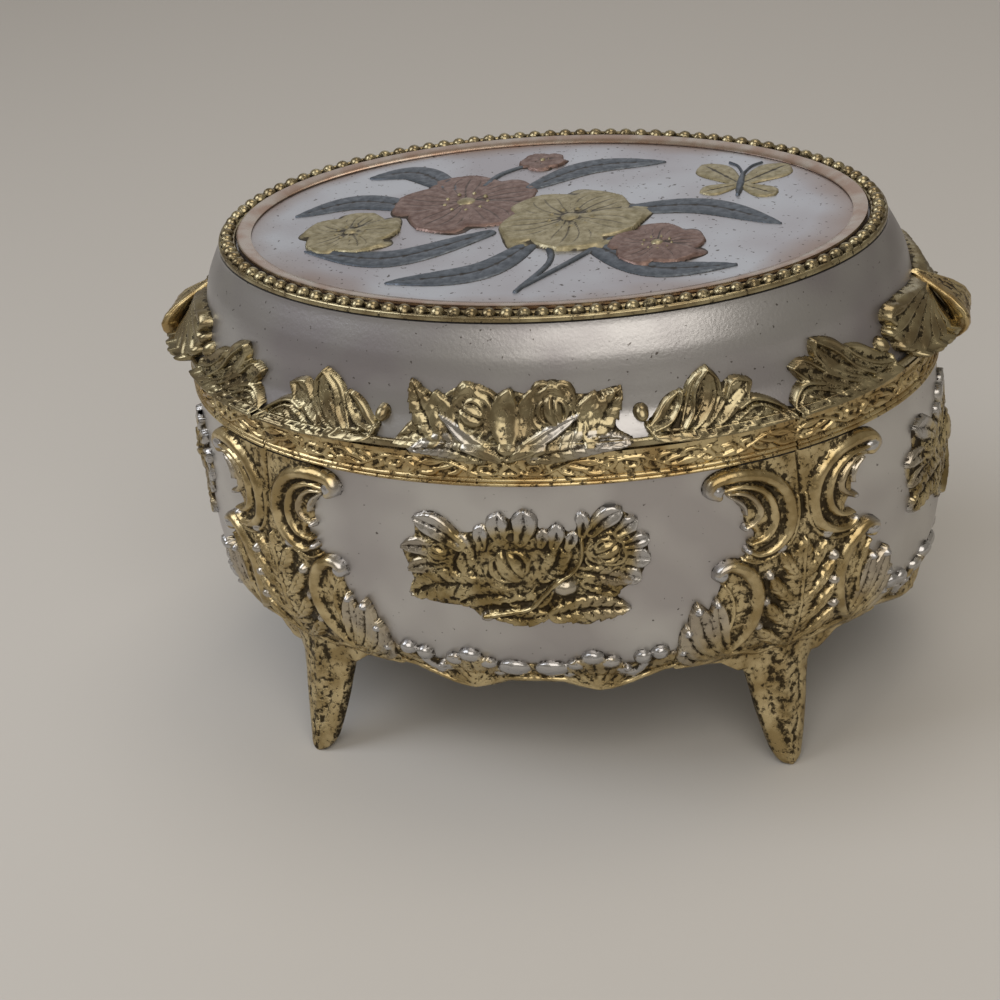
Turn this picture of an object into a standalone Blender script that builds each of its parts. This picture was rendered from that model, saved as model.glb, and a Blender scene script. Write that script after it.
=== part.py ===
"""Oval footed trinket box with a hinged lid, cast relief ornament and a lined compartment.

Metres, +Z up. The origin lies on the table under the middle of the oval.
+X runs along the length and -Y is the front. An offset is a distance outwards
from the oval of the rim band, so a negative offset lies inside it.
"""

import math

import bmesh
import bpy
import numpy as np
from mathutils import Vector
from mathutils.geometry import delaunay_2d_cdt, intersect_point_line

# Oval of the rim band, and the heights from the table up
BAND_HALF_LENGTH = 0.0700
BAND_HALF_DEPTH = 0.0511
LEG_HEIGHT = 0.0215
WALL_HEIGHT = 0.0400
RIM_BAND_HEIGHT = 0.0062
LID_HEIGHT = 0.0199
SEAT_GAP = 0.0003

# Wall castings, which meet at a seam over each leg
WALL_THICKNESS = 0.0018
WALL_TOP_INSET = 0.0009
WALL_FOOT_INSET = 0.0040
WALL_LEDGE_WIDTH = 0.0020
WALL_LEDGE_HEIGHT = 0.0012
SEAM_ANGLE = math.radians(47.6)
WALL_TOP_CURVE_SHARE = 0.55
WALL_FOOT_CURVE_SHARE = 0.42
WALL_STATION_SHARES = (1.0, 0.78, 0.45, 0.28, 0.14, 0.06, 0.0)

# Rim band: two reeds below, an engraved face and a fillet above
REED_COUNT = 2
REED_HEIGHT = 0.00085
REED_PROUD = 0.0004
BAND_FACE_INSET = 0.0005
BAND_FILLET_HEIGHT = 0.0008
BAND_FILLET_INSET = 0.00015

# Bottom plate, lining and pads
BOTTOM_PLATE_THICKNESS = 0.0012
PAD_THICKNESS = 0.0015
LINING_THICKNESS = 0.0010
LINING_DROP = 0.0010

# Lid shell: its slope, as shares of the lid's height and of the slope's inset
LID_THICKNESS = 0.0015
LID_SLOPE_INSET = 0.0088
LID_FLANGE_WIDTH = 0.0060
LID_SLOPE_SHARES = ((0.0, 0.105), (0.1, 0.22), (0.25, 0.42), (0.42, 0.535),
                    (0.6, 0.60), (0.72, 0.68), (0.85, 0.82), (1.0, 1.0))
LID_EDGE_HEIGHT = 0.0015

# Bead rim, bezel and picture plate
BEAD_COUNT = 108
BEAD_RIM_WIDTH = 0.0032
BEAD_RIM_HEIGHT = 0.0009
BEAD_PROUD = 0.0010
BEAD_DIP = 0.0006
BEZEL_WIDTH = 0.0026
BEZEL_RISE = 0.0005
BEZEL_EDGE = 0.0003
PLATE_THICKNESS = 0.0005
PLATE_DOME = 0.0007

# Legs: a corner casting from the band down to the toe
LEG_REACH = 0.0214
LEG_RELIEF = 0.0020
LEG_CARVING_RISE = 0.0012
LEG_DEPTH = 0.0062
TOE_DEPTH = 0.0042
TOE_FLARE = 0.0030
TOE_LEAN = 0.0053
TOE_CURVE_POWER = 1.3
LEAN_START_SHARE = 0.58

# Rose sprays on the walls, aprons below them
SPRAY_WIDTH = 0.0450
SPRAY_HEIGHT = 0.0233
SPRAY_FOOT_RISE = 0.0125
SPRAY_RELIEF = 0.0018
APRON_HEIGHT = 0.0107
APRON_DROP = 0.0036
APRON_RELIEF = 0.0016

# Lid ornament
ROSES_WIDTH = 0.0428
ROSES_HEIGHT = 0.0120
ROSES_OVERHANG = 0.0013
ROSES_RELIEF = 0.0020
SCROLL_HEIGHT = 0.0111
SCROLL_RELIEF = 0.0016
SCROLL_SEAM_GAP = 0.0006
ORNAMENT_GAP = 0.0006
PALMETTE_WIDTH = 0.0430
PALMETTE_HEIGHT = 0.0150
PALMETTE_OVERHANG = 0.0040
PALMETTE_RELIEF = 0.0022
PALMETTE_LEAF_RISE = 0.0038
PALMETTE_LEAF_WIDTH = 0.0070

# Hinge at the middle of the back
KNUCKLE_RADIUS = 0.0015
KNUCKLE_LENGTH = 0.0080
HINGE_PIN_RADIUS = 0.0005
HINGE_PIN_END = 0.0006
HINGE_LEAF_THICKNESS = 0.0010
LID_LEAF_HEIGHT = 0.0024

# Fineness of the faceted shapes
SECTION_STEPS = 12
RING_STEPS = 48
DOME_RINGS = 2
KNUCKLE_POINTS = 12
SIDE_CUT_STEP = 0.0090
CORNER_CUT_STEP = 0.0085
END_CUT_STEP = 0.0070
CROWN_WIDTH = 0.0030
CROWN_EDGE_SHARE = 0.6
RIB_TIP_SHARE = 0.4
WELD_DISTANCE = 0.00001
CUT_SNAP = 0.00002
OVERRUN = 0.0010

# Heights that follow
WALL_FOOT = LEG_HEIGHT
WALL_TOP = WALL_FOOT + WALL_HEIGHT
BAND_FOOT = WALL_TOP + SEAT_GAP
BAND_TOP = BAND_FOOT + RIM_BAND_HEIGHT
LID_FOOT = BAND_TOP + SEAT_GAP
LID_TOP = LID_FOOT + LID_HEIGHT
LID_EDGE_TOP = LID_FOOT + LID_EDGE_HEIGHT
LEDGE_TOP = WALL_FOOT + WALL_LEDGE_HEIGHT
BOTTOM_PLATE_FOOT = LEDGE_TOP + SEAT_GAP
FLOOR_PAD_FOOT = BOTTOM_PLATE_FOOT + BOTTOM_PLATE_THICKNESS + SEAT_GAP
LINING_FOOT = FLOOR_PAD_FOOT + PAD_THICKNESS + SEAT_GAP
LEAN_START = WALL_FOOT + WALL_HEIGHT * LEAN_START_SHARE
HINGE_HEIGHT = BAND_TOP + SEAT_GAP / 2
HINGE_Y = BAND_HALF_DEPTH + 2 * SEAT_GAP + KNUCKLE_RADIUS
HINGE_BORE_RADIUS = HINGE_PIN_RADIUS + SEAT_GAP
HINGE_HALF_WIDTH = 1.5 * KNUCKLE_LENGTH

# Arc length along the band's oval, from the back of the left end round
TABLE_ANGLES = np.linspace(-math.pi, math.pi, 3601)
TABLE_SPEEDS = np.hypot(BAND_HALF_LENGTH * np.sin(TABLE_ANGLES), BAND_HALF_DEPTH * np.cos(TABLE_ANGLES))
TABLE_STEPS = (TABLE_SPEEDS[1:] + TABLE_SPEEDS[:-1]) / 2 * np.diff(TABLE_ANGLES)
TABLE_ARCS = np.concatenate(([0.0], np.cumsum(TABLE_STEPS)))

# Outlines of the castings. Each point is a share of the half width across and of the height up.
SPRAY_SHARES = ((-1.0, 0.65), (-0.86, 0.6), (-0.81, 0.93), (-0.6, 0.89), (-0.44, 0.86), (-0.28, 0.9),
                (-0.09, 0.99), (0.08, 1.0), (0.2, 0.88), (0.29, 0.91), (0.49, 0.99), (0.63, 0.91),
                (0.78, 0.97), (0.88, 0.9), (0.97, 0.73), (0.98, 0.56), (0.92, 0.4), (0.81, 0.16),
                (0.65, 0.02), (0.46, 0.0), (0.29, 0.12), (0.21, 0.15), (-0.05, 0.01), (-0.3, 0.05),
                (-0.52, 0.14), (-0.76, 0.17), (-0.94, 0.24), (-0.88, 0.4), (-0.97, 0.5))

APRON_HALF_SHARES = ((1.0, 0.74), (0.96, 0.71), (0.88, 0.86), (0.8, 0.68), (0.73, 0.84), (0.63, 0.66),
                     (0.58, 0.83), (0.53, 0.76), (0.46, 0.99), (0.39, 0.83), (0.32, 0.93), (0.26, 0.62),
                     (0.14, 0.79), (0.02, 0.58))
APRON_FOOT_SHARES = ((0.0, 0.22), (0.2, 0.2), (0.33, 0.09), (0.46, 0.0), (0.6, 0.05), (0.75, 0.17),
                     (1.0, 0.38))

LEG_HALF_SHARES = ((0.0, 1.0), (0.56, 1.0), (0.71, 0.99), (0.77, 0.94), (0.73, 0.9), (0.67, 0.94),
                   (0.5, 0.86), (0.46, 0.76), (0.5, 0.65), (0.36, 0.61), (0.6, 0.575), (0.77, 0.56),
                   (0.73, 0.48), (0.66, 0.41), (0.74, 0.37), (0.86, 0.41), (0.97, 0.37), (1.0, 0.28),
                   (0.97, 0.15), (1.0, 0.03))
FOOT_HALF_SHARES = ((0.71, 0.94), (0.5, 0.8), (0.36, 0.66), (0.29, 0.5), (0.225, 0.3), (0.15, 0.1),
                    (0.1, 0.0))
# Ribs of a leg's carving. Each point is a share across and up as above, and a half width as a share across.
LEG_SCROLL_SHARES = (
    ((0.76, 0.925, 0.05), (0.5, 0.945, 0.065), (0.25, 0.915, 0.07), (0.17, 0.82, 0.07),
     (0.235, 0.7, 0.065), (0.48, 0.65, 0.02)),
    ((0.745, 0.53, 0.04), (0.53, 0.52, 0.065), (0.4, 0.4, 0.075), (0.475, 0.235, 0.07), (0.57, 0.1, 0.05)))
LEG_LEAF_SHARES = (
    ((0.6, 0.9, 0.02), (0.37, 0.83, 0.06), (0.44, 0.745, 0.015)),
    ((0.56, 0.12, 0.04), (0.66, 0.245, 0.06), (0.74, 0.37, 0.015)),
    ((0.64, 0.095, 0.035), (0.81, 0.235, 0.065), (0.93, 0.36, 0.015)),
    ((0.7, 0.06, 0.035), (0.85, 0.135, 0.06), (0.96, 0.235, 0.015)))
FEATHER_LOBE_SHARES = ((0.03, 0.0, 0.05), (0.16, 0.055, 0.055), (0.27, 0.125, 0.015))
FEATHER_LEVEL_SHARES = (0.47, 0.335, 0.2, 0.06)
FEATHER_MIDRIB_SHARES = ((0.0, 0.66, 0.015), (0.0, 0.35, 0.03), (0.0, 0.04, 0.035))
FOOT_RIDGE_SHARES = ((0.0, 1.05, 0.05), (0.0, 0.8, 0.22), (0.0, 0.4, 0.18), (0.0, 0.1, 0.09))
FOOT_LEVEL_SHARES = (0.5,)
LEG_LEVEL_SHARES = WALL_STATION_SHARES[1:-1]

ROSES_HALF_SHARES = ((0.01, 0.91), (0.17, 0.8), (0.23, 0.92), (0.36, 1.0), (0.45, 0.83), (0.55, 0.9),
                     (0.63, 0.85), (0.81, 0.97), (0.91, 0.98), (0.95, 0.71), (0.92, 0.54), (1.0, 0.23),
                     (0.83, 0.13), (0.69, 0.12), (0.43, 0.0))
ROSES_FOOT_SHARE = 0.05
LID_LEVEL_SHARE = 0.6

FRONT_SCROLL_SHARES = ((0.0, 0.05), (0.045, 0.23), (0.165, 0.39), (0.265, 0.39), (0.21, 0.68),
                       (0.32, 0.76), (0.395, 0.62), (0.485, 1.0), (0.585, 0.74), (0.645, 0.51),
                       (0.66, 0.7), (0.74, 0.57), (0.86, 0.43), (0.92, 0.58), (0.985, 0.5), (1.0, 0.3),
                       (0.935, 0.17), (0.815, 0.03), (0.6, 0.0), (0.3, 0.0))
END_SCROLL_SHARES = ((0.03, 0.0), (0.0, 0.12), (0.02, 0.35), (0.08, 0.47), (0.07, 0.62), (0.03, 0.77),
                     (0.2, 0.7), (0.26, 0.74), (0.3, 0.98), (0.44, 0.76), (0.5, 0.62), (0.54, 0.78),
                     (0.6, 0.68), (0.7, 0.53), (0.88, 0.45), (0.92, 0.56), (0.98, 0.5), (0.99, 0.34),
                     (0.97, 0.19), (0.97, 0.04), (0.67, 0.0), (0.35, 0.0))

PALMETTE_HALF_SHARES = ((0.0, 0.98), (0.14, 1.0), (0.2, 0.9), (0.45, 0.92), (0.66, 0.9), (0.83, 0.94),
                        (0.93, 0.98), (1.0, 0.95), (0.94, 0.78), (0.99, 0.52), (0.98, 0.38),
                        (0.8, 0.34), (0.62, 0.32), (0.42, 0.26), (0.3, 0.17), (0.15, 0.1))

# Corners and ends, as the side that each faces along X and Y
CORNERS = {"front_right": (1, -1), "front_left": (-1, -1), "back_right": (1, 1), "back_left": (-1, 1)}
SIDES = (("front", -math.pi / 2, SIDE_CUT_STEP), ("back", -math.pi / 2, SIDE_CUT_STEP),
         ("right", 0.0, END_CUT_STEP), ("left", 0.0, END_CUT_STEP))

for old_object in list(bpy.data.objects):
    bpy.data.objects.remove(old_object, do_unlink=True)

box_collection = bpy.data.collections.new("trinket_box")
cutter_collection = bpy.data.collections.new("cutters")
bpy.context.scene.collection.children.link(box_collection)
bpy.context.scene.collection.children.link(cutter_collection)


def finish(name, colour, roughness, metallic):
    """One plain material of a sub-part's colour, as linear red, green and blue."""
    material = bpy.data.materials.new(name)
    material.use_nodes = True
    shader = material.node_tree.nodes["Principled BSDF"]
    shader.inputs["Base Color"].default_value = (*colour, 1.0)
    shader.inputs["Roughness"].default_value = roughness
    shader.inputs["Metallic"].default_value = metallic
    material.diffuse_color = (*colour, 1.0)
    return material


silvered = finish("silvered_metal", (0.44, 0.42, 0.43), 0.42, 0.9)
gilt = finish("gilt_metal", (0.38, 0.25, 0.085), 0.36, 1.0)
copper_gilt = finish("copper_gilt_metal", (0.36, 0.2, 0.1), 0.34, 1.0)
steel = finish("plain_steel", (0.3, 0.29, 0.28), 0.4, 1.0)
velvet = finish("crimson_velvet", (0.19, 0.012, 0.018), 0.95, 0.0)


def wall_offset(height):
    """Outer face of the walls: full in the middle, drawn in a little above and more at the foot."""
    share = (height - WALL_FOOT) / WALL_HEIGHT
    above = max(0.0, (share - WALL_TOP_CURVE_SHARE) / (1 - WALL_TOP_CURVE_SHARE))
    below = max(0.0, (WALL_FOOT_CURVE_SHARE - share) / WALL_FOOT_CURVE_SHARE)
    return -WALL_TOP_INSET * above ** 2 - WALL_FOOT_INSET * below ** 3


def lid_offset(height):
    """Outer face of the lid's slope."""
    heights, insets = zip(*LID_SLOPE_SHARES)
    share = np.interp((height - LID_FOOT) / LID_HEIGHT, heights, insets)
    return -LID_SLOPE_INSET * float(share)


def lid_seat(height):
    """What the lid's ornament lies on: the edge moulding and below it the band, then the slope."""
    if height < LID_EDGE_TOP + SEAT_GAP:
        return 0.0
    return lid_offset(height)


def oval_point(angle, offset, height):
    across = (BAND_HALF_LENGTH + offset) * math.cos(angle)
    deep = (BAND_HALF_DEPTH + offset) * math.sin(angle)
    return Vector((across, deep, height))


def arc_at(angle):
    """Arc length along the oval up to an angle."""
    return float(np.interp(angle, TABLE_ANGLES, TABLE_ARCS))


def angle_at(start_angle, distance):
    """Angle reached by going a distance along the oval."""
    return float(np.interp(arc_at(start_angle) + distance, TABLE_ARCS, TABLE_ANGLES))


SEAM_TO_FRONT = arc_at(-SEAM_ANGLE) - arc_at(-math.pi / 2)
SEAM_TO_END = arc_at(0.0) - arc_at(-SEAM_ANGLE)


def lean_at(height):
    """How far a leg has leaned from its seam towards the front or back middle."""
    return TOE_LEAN * max(0.0, (LEAN_START - height) / LEAN_START)


def add_object(name, mesh, material, collection=box_collection):
    mesh.materials.append(material)
    new_object = bpy.data.objects.new(name, mesh)
    collection.objects.link(new_object)
    return new_object


def mesh_from(name, shape):
    """Closes a bmesh into a mesh whose faces point out."""
    bmesh.ops.recalc_face_normals(shape, faces=shape.faces[:])
    if shape.calc_volume(signed=True) < 0:
        bmesh.ops.reverse_faces(shape, faces=shape.faces[:])
    mesh = bpy.data.meshes.new(name)
    shape.to_mesh(mesh)
    shape.free()
    return mesh


def swept(name, profile, material, start_angle=0.0, end_angle=math.tau, steps=RING_STEPS, dip=None):
    """Turns a closed profile of offsets and heights about Z, then stretches it to the oval."""
    shape = bmesh.new()
    corners = [shape.verts.new((BAND_HALF_LENGTH + offset, 0.0, height)) for offset, height in profile]
    edges = [shape.edges.new((corners[i - 1], corners[i])) for i in range(len(corners))]
    sweep = end_angle - start_angle
    is_ring = math.isclose(sweep, math.tau)
    bmesh.ops.spin(shape, geom=corners + edges, cent=(0, 0, 0), axis=(0, 0, 1), angle=sweep,
                   steps=steps, use_merge=is_ring, use_normal_flip=False, use_duplicate=False)
    if not is_ring:
        bmesh.ops.holes_fill(shape, edges=[edge for edge in shape.edges if edge.is_boundary], sides=0)
    for vert in shape.verts:
        turned = math.atan2(vert.co.y, vert.co.x) % math.tau
        if turned > math.tau - sweep / steps / 2:
            turned = 0.0
        offset = math.hypot(vert.co.x, vert.co.y) - BAND_HALF_LENGTH
        height = vert.co.z
        if dip is not None:
            height -= dip(round(turned / sweep * steps), height)
        vert.co = oval_point(start_angle + turned, offset, height)
    mesh = mesh_from(name, shape)
    mesh.shade_smooth()
    mesh.set_sharp_from_angle(angle=math.radians(30))
    return add_object(name, mesh, material)


def oval_disc(name, offset, foot, thickness, dome, material):
    """An oval plate with a slightly domed top."""
    shape = bmesh.new()
    bmesh.ops.create_cone(shape, cap_ends=True, segments=RING_STEPS, radius1=1, radius2=1, depth=thickness)
    top = max(shape.faces, key=lambda face: face.calc_center_median().z)
    for ring in range(DOME_RINGS if dome else 0):
        before = 1 - ring / (DOME_RINGS + 1)
        after = 1 - (ring + 1) / (DOME_RINGS + 1)
        rise = dome * (before ** 2 - after ** 2)
        bmesh.ops.inset_individual(shape, faces=[top], thickness=before - after, depth=rise)
    for vert in shape.verts:
        vert.co.x *= BAND_HALF_LENGTH + offset
        vert.co.y *= BAND_HALF_DEPTH + offset
        vert.co.z += foot + thickness / 2
    return add_object(name, mesh_from(name, shape), material)


def distance_to_outline(point, outline):
    """Least distance from a flat point to a closed outline."""
    least = math.inf
    for i in range(len(outline)):
        start = Vector((*outline[i - 1], 0.0))
        end = Vector((*outline[i], 0.0))
        nearest, share = intersect_point_line(point, start, end)
        nearest = start.lerp(end, min(1.0, max(0.0, share)))
        least = min(least, (point - nearest).length)
    return least


def flat_blank(outline):
    """A filled outline, as thick as the cast edge of a relief, as a bmesh."""
    curve = bpy.data.curves.new("blank", "CURVE")
    curve.dimensions = "2D"
    curve.fill_mode = "BOTH"
    curve.extrude = CROWN_WIDTH / 2
    spline = curve.splines.new("POLY")
    spline.points.add(len(outline) - 1)
    for point, (across, up) in zip(spline.points, outline):
        point.co = (across, up, 0.0, 1.0)
    spline.use_cyclic_u = True
    blank = bpy.data.objects.new("blank", curve)
    cutter_collection.objects.link(blank)
    depsgraph = bpy.context.evaluated_depsgraph_get()
    mesh = bpy.data.meshes.new_from_object(blank.evaluated_get(depsgraph))
    shape = bmesh.new()
    shape.from_mesh(mesh)
    bmesh.ops.remove_doubles(shape, verts=shape.verts[:], dist=WELD_DISTANCE)
    bpy.data.objects.remove(blank, do_unlink=True)
    return shape


def rib_height(point, paths):
    """Height of a carving over its ground at a flat point: 1 on a rib's crest and 0 past its foot."""
    height = 0.0
    for path in paths:
        for start, end in zip(path, path[1:]):
            line = Vector((*start[:2], 0.0)), Vector((*end[:2], 0.0))
            nearest, share = intersect_point_line(point, *line)
            share = min(1.0, max(0.0, share))
            half_width = start[2] + (end[2] - start[2]) * share
            height = max(height, 1 - (point - line[0].lerp(line[1], share)).length / half_width)
    return height


def rib_lines(path):
    """The crest of a rib, and the closed line of its foot."""
    crest = [Vector((across, up)) for across, up, half_width in path]
    widest = max(half_width for across, up, half_width in path)
    sides = ([], [])
    for i, (across, up, half_width) in enumerate(path):
        ahead = crest[min(i + 1, len(crest) - 1)] - crest[max(i - 1, 0)]
        if half_width > widest * RIB_TIP_SHARE:
            out = Vector((-ahead.y, ahead.x)).normalized() * half_width
            sides[0].append(crest[i] + out)
            sides[1].append(crest[i] - out)
    start_tip = crest[0] + (crest[0] - crest[1]).normalized() * path[0][2]
    end_tip = crest[-1] + (crest[-1] - crest[-2]).normalized() * path[-1][2]
    return crest, [start_tip, *sides[0], end_tip, *reversed(sides[1])]


def carved_blank(outline, paths, columns, rows):
    """A flat blank whose front is divided along the crests and feet of its ribs, and along its cuts."""
    places, edges = [], []

    def add_line(line, is_closed):
        first, last = len(places), len(places) + len(line) - 1
        places.extend(Vector(point) for point in line)
        edges.extend((i, i + 1) for i in range(first, last))
        if is_closed:
            edges.append((last, first))

    add_line(outline[::-1], True)
    for path in paths:
        crest, foot = rib_lines(path)
        add_line(crest, False)
        add_line(foot, True)
    low = [min(values) - OVERRUN for values in zip(*outline)]
    high = [max(values) + OVERRUN for values in zip(*outline)]
    for column in columns:
        add_line([(column, low[1]), (column, high[1])], False)
    for row in rows:
        add_line([(low[0], row), (high[0], row)], False)
    rim = list(range(len(outline)))
    points, lines, faces, point_sources, line_sources, face_sources = delaunay_2d_cdt(
        places, edges, [rim], 0, WELD_DISTANCE)
    shape = bmesh.new()
    verts = [shape.verts.new((*point, CROWN_WIDTH / 2)) for point in points]
    for face, inside in zip(faces, face_sources):
        if inside:
            shape.faces.new([verts[i] for i in face])
    bmesh.ops.delete(shape, geom=[vert for vert in shape.verts if not vert.link_faces], context="VERTS")
    extruded = bmesh.ops.extrude_face_region(shape, geom=shape.faces[:])
    moved = [item for item in extruded["geom"] if isinstance(item, bmesh.types.BMVert)]
    bmesh.ops.translate(shape, verts=moved, vec=(0, 0, -CROWN_WIDTH))
    back = [edge for edge in shape.edges if all(vert.co.z < 0 for vert in edge.verts)
            and all(abs(face.normal.z) > 0.5 for face in edge.link_faces)]
    shape.normal_update()
    inner = [vert for vert in moved if all(all(other.co.z < 0 for other in edge.verts) for edge in vert.link_edges)]
    bmesh.ops.dissolve_limit(shape, angle_limit=math.radians(1), verts=inner, edges=back)
    return shape


def cut_shape(shape, place, normal):
    geometry = shape.verts[:] + shape.edges[:] + shape.faces[:]
    bmesh.ops.bisect_plane(shape, geom=geometry, dist=CUT_SNAP, plane_co=place, plane_no=normal)


def relief(name, outline, place, material, cut_step, cut_heights, rib_paths=()):
    """A cast relief. Its outline is cut into strips, crowned, and bent onto its seat.

    place(across, up, depth) gives the point in space, with depth 0 on the seat, 1 at the crown and 2 on
    the crests of the ribs that stand on it.
    """
    across = [point[0] for point in outline]
    strip_count = 2 * math.ceil((max(across) - min(across)) / cut_step / 2)
    strip_ends = np.linspace(min(across), max(across), strip_count + 1)[1:-1]
    shape = carved_blank(outline, rib_paths, strip_ends, cut_heights) if rib_paths else flat_blank(outline)
    for cut in strip_ends:
        cut_shape(shape, (cut, 0.0, 0.0), (1, 0, 0))
    for cut in cut_heights:
        cut_shape(shape, (0.0, cut, 0.0), (0, 1, 0))
    bmesh.ops.triangulate(shape, faces=shape.faces[:])
    for vert in shape.verts:
        depth = 0.0
        if vert.co.z > 0:
            inner = distance_to_outline(Vector((vert.co.x, vert.co.y, 0.0)), outline)
            depth = CROWN_EDGE_SHARE + (1 - CROWN_EDGE_SHARE) * min(1.0, inner / CROWN_WIDTH)
            depth += rib_height(Vector((vert.co.x, vert.co.y, 0.0)), rib_paths)
        vert.co = place(vert.co.x, vert.co.y, depth)
    return add_object(name, mesh_from(name, shape), material)


def scaled(shares, half_width, foot, height):
    """An outline in metres from its shares."""
    return [(across * half_width, foot + up * height) for across, up in shares]


def both_halves(right_half):
    """A whole outline from its right half, which runs from the top middle to the bottom middle."""
    left_half = [(-across, up) for across, up in reversed(right_half) if across > WELD_DISTANCE]
    return right_half + left_half


def build_walls():
    heights = [WALL_FOOT + share * WALL_HEIGHT for share in WALL_STATION_SHARES]
    outer = [(wall_offset(height), height) for height in heights]
    inner = [(offset - WALL_THICKNESS, height) for offset, height in outer[:-1]]
    inner_foot = wall_offset(LEDGE_TOP) - WALL_THICKNESS
    ledge = wall_offset(WALL_FOOT) - WALL_THICKNESS - WALL_LEDGE_WIDTH
    inner = [point for point in inner if point[1] > LEDGE_TOP] + [(inner_foot, LEDGE_TOP)]
    profile = outer + [(ledge, WALL_FOOT), (ledge, LEDGE_TOP)] + inner[::-1]
    for name, start, end in section_spans():
        swept(name + "_wall", profile, silvered, start, end, SECTION_STEPS)


def section_spans():
    """Name, start and end angle of the four body sections, a seam's gap apart."""
    half_gap = SEAT_GAP / 2 / BAND_HALF_DEPTH
    seam = SEAM_ANGLE
    return (("front", -math.pi + seam + half_gap, -seam - half_gap),
            ("back", seam + half_gap, math.pi - seam - half_gap),
            ("right", -seam + half_gap, seam - half_gap),
            ("left", math.pi - seam + half_gap, math.pi + seam - half_gap))


def build_rim_bands():
    inner = -WALL_TOP_INSET - WALL_THICKNESS
    reeds = []
    for reed in range(REED_COUNT):
        foot = BAND_FOOT + reed * REED_HEIGHT
        reeds += [(-REED_PROUD, foot), (0.0, foot + REED_HEIGHT / 2)]
    reed_top = BAND_FOOT + REED_COUNT * REED_HEIGHT
    fillet_foot = BAND_TOP - BAND_FILLET_HEIGHT
    profile = [(inner, BAND_FOOT)] + reeds + [(-BAND_FACE_INSET, reed_top), (-BAND_FACE_INSET, fillet_foot),
                                              (-BAND_FILLET_INSET, fillet_foot),
                                              (-BAND_FILLET_INSET, BAND_TOP), (inner, BAND_TOP)]
    for name, start, end in section_spans():
        swept(name + "_rim_band", profile, gilt, start, end, SECTION_STEPS)


def leg_place(across, up, depth):
    """Bends a leg's flat carving round the front right corner. The free foot flares out to the toe."""
    if up > WALL_FOOT - SEAT_GAP / 2:
        back = wall_offset(max(up, WALL_FOOT)) + SEAT_GAP
        front = back + LEG_RELIEF
    else:
        share = 1 - up / WALL_FOOT
        front_at_wall = wall_offset(WALL_FOOT) + SEAT_GAP + LEG_RELIEF
        front = front_at_wall + (TOE_FLARE - front_at_wall) * share ** TOE_CURVE_POWER
        back = front - LEG_DEPTH - (TOE_DEPTH - LEG_DEPTH) * share
    angle = angle_at(-SEAM_ANGLE, across - lean_at(up))
    ground = back + (front - LEG_CARVING_RISE - back) * min(1.0, depth)
    return oval_point(angle, ground + LEG_CARVING_RISE * max(0.0, depth - 1), up)


def leg_ribs(foot_top, casting_height):
    """Paths of the ribs on a leg: two scrolls and four leaves a side, the feather leaf and the foot's ridge."""
    sides = LEG_SCROLL_SHARES + LEG_LEAF_SHARES
    for level in FEATHER_LEVEL_SHARES:
        sides += (tuple((across, level + up, half_width) for across, up, half_width in FEATHER_LOBE_SHARES),)
    paths = [[(hand * across * LEG_REACH, foot_top + up * casting_height, half_width * LEG_REACH)
              for across, up, half_width in shares] for shares in sides for hand in (-1, 1)]
    paths.append([(across * LEG_REACH, foot_top + up * casting_height, half_width * LEG_REACH)
                  for across, up, half_width in FEATHER_MIDRIB_SHARES])
    paths.append([(across * LEG_REACH, up * foot_top, half_width * LEG_REACH)
                  for across, up, half_width in FOOT_RIDGE_SHARES])
    return paths


def build_legs():
    """A corner casting: scrolls against the walls, then the free foot."""
    foot_top = WALL_FOOT - SEAT_GAP
    top = WALL_TOP - SEAT_GAP
    right_half = scaled(LEG_HALF_SHARES, LEG_REACH, foot_top, top - foot_top)
    right_half += scaled(FOOT_HALF_SHARES, LEG_REACH, 0.0, foot_top)
    outline = both_halves(right_half)
    levels = [foot_top * share for share in FOOT_LEVEL_SHARES] + [foot_top, WALL_FOOT]
    levels += [WALL_FOOT + share * WALL_HEIGHT for share in LEG_LEVEL_SHARES]
    ribs = leg_ribs(foot_top, top - foot_top)
    for corner, (side_x, side_y) in CORNERS.items():
        place = corner_place(leg_place, side_x, side_y)
        relief(corner + "_leg", outline, place, gilt, CORNER_CUT_STEP, levels, ribs)


def seat_place(middle_angle, seat, thickness):
    """Bends a flat outline onto the wall or the lid, about a middle angle."""
    def place(across, up, depth):
        return oval_point(angle_at(middle_angle, across), seat(up) + SEAT_GAP + thickness * depth, up)

    return place


def side_place(base, side):
    """A place on the front or the right end, turned half round for the back or the left end."""
    turn = -1 if side in ("back", "left") else 1

    def place(across, up, depth):
        point = base(across, up, depth)
        return Vector((turn * point.x, turn * point.y, point.z))

    return place


def corner_place(base, side_x, side_y):
    """A place at the front right corner, mirrored to the corner that is asked for."""
    def place(across, up, depth):
        point = base(across, up, depth)
        return Vector((side_x * point.x, -side_y * point.y, point.z))

    return place


def build_rose_sprays():
    foot = WALL_FOOT + SPRAY_FOOT_RISE
    outline = scaled(SPRAY_SHARES, SPRAY_WIDTH / 2, foot, SPRAY_HEIGHT)
    level = foot + SPRAY_HEIGHT / 2
    for side, middle_angle, cut_step in SIDES:
        place = side_place(seat_place(middle_angle, wall_offset, SPRAY_RELIEF), side)
        relief(side + "_rose_spray", outline, place, gilt, cut_step, [level])


def apron_half_width(seam_distance, lean_side, height):
    """Distance from the middle of a side to the edge of the leg's casting, at one height."""
    return seam_distance - LEG_REACH - lean_side * lean_at(height) - ORNAMENT_GAP


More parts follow.
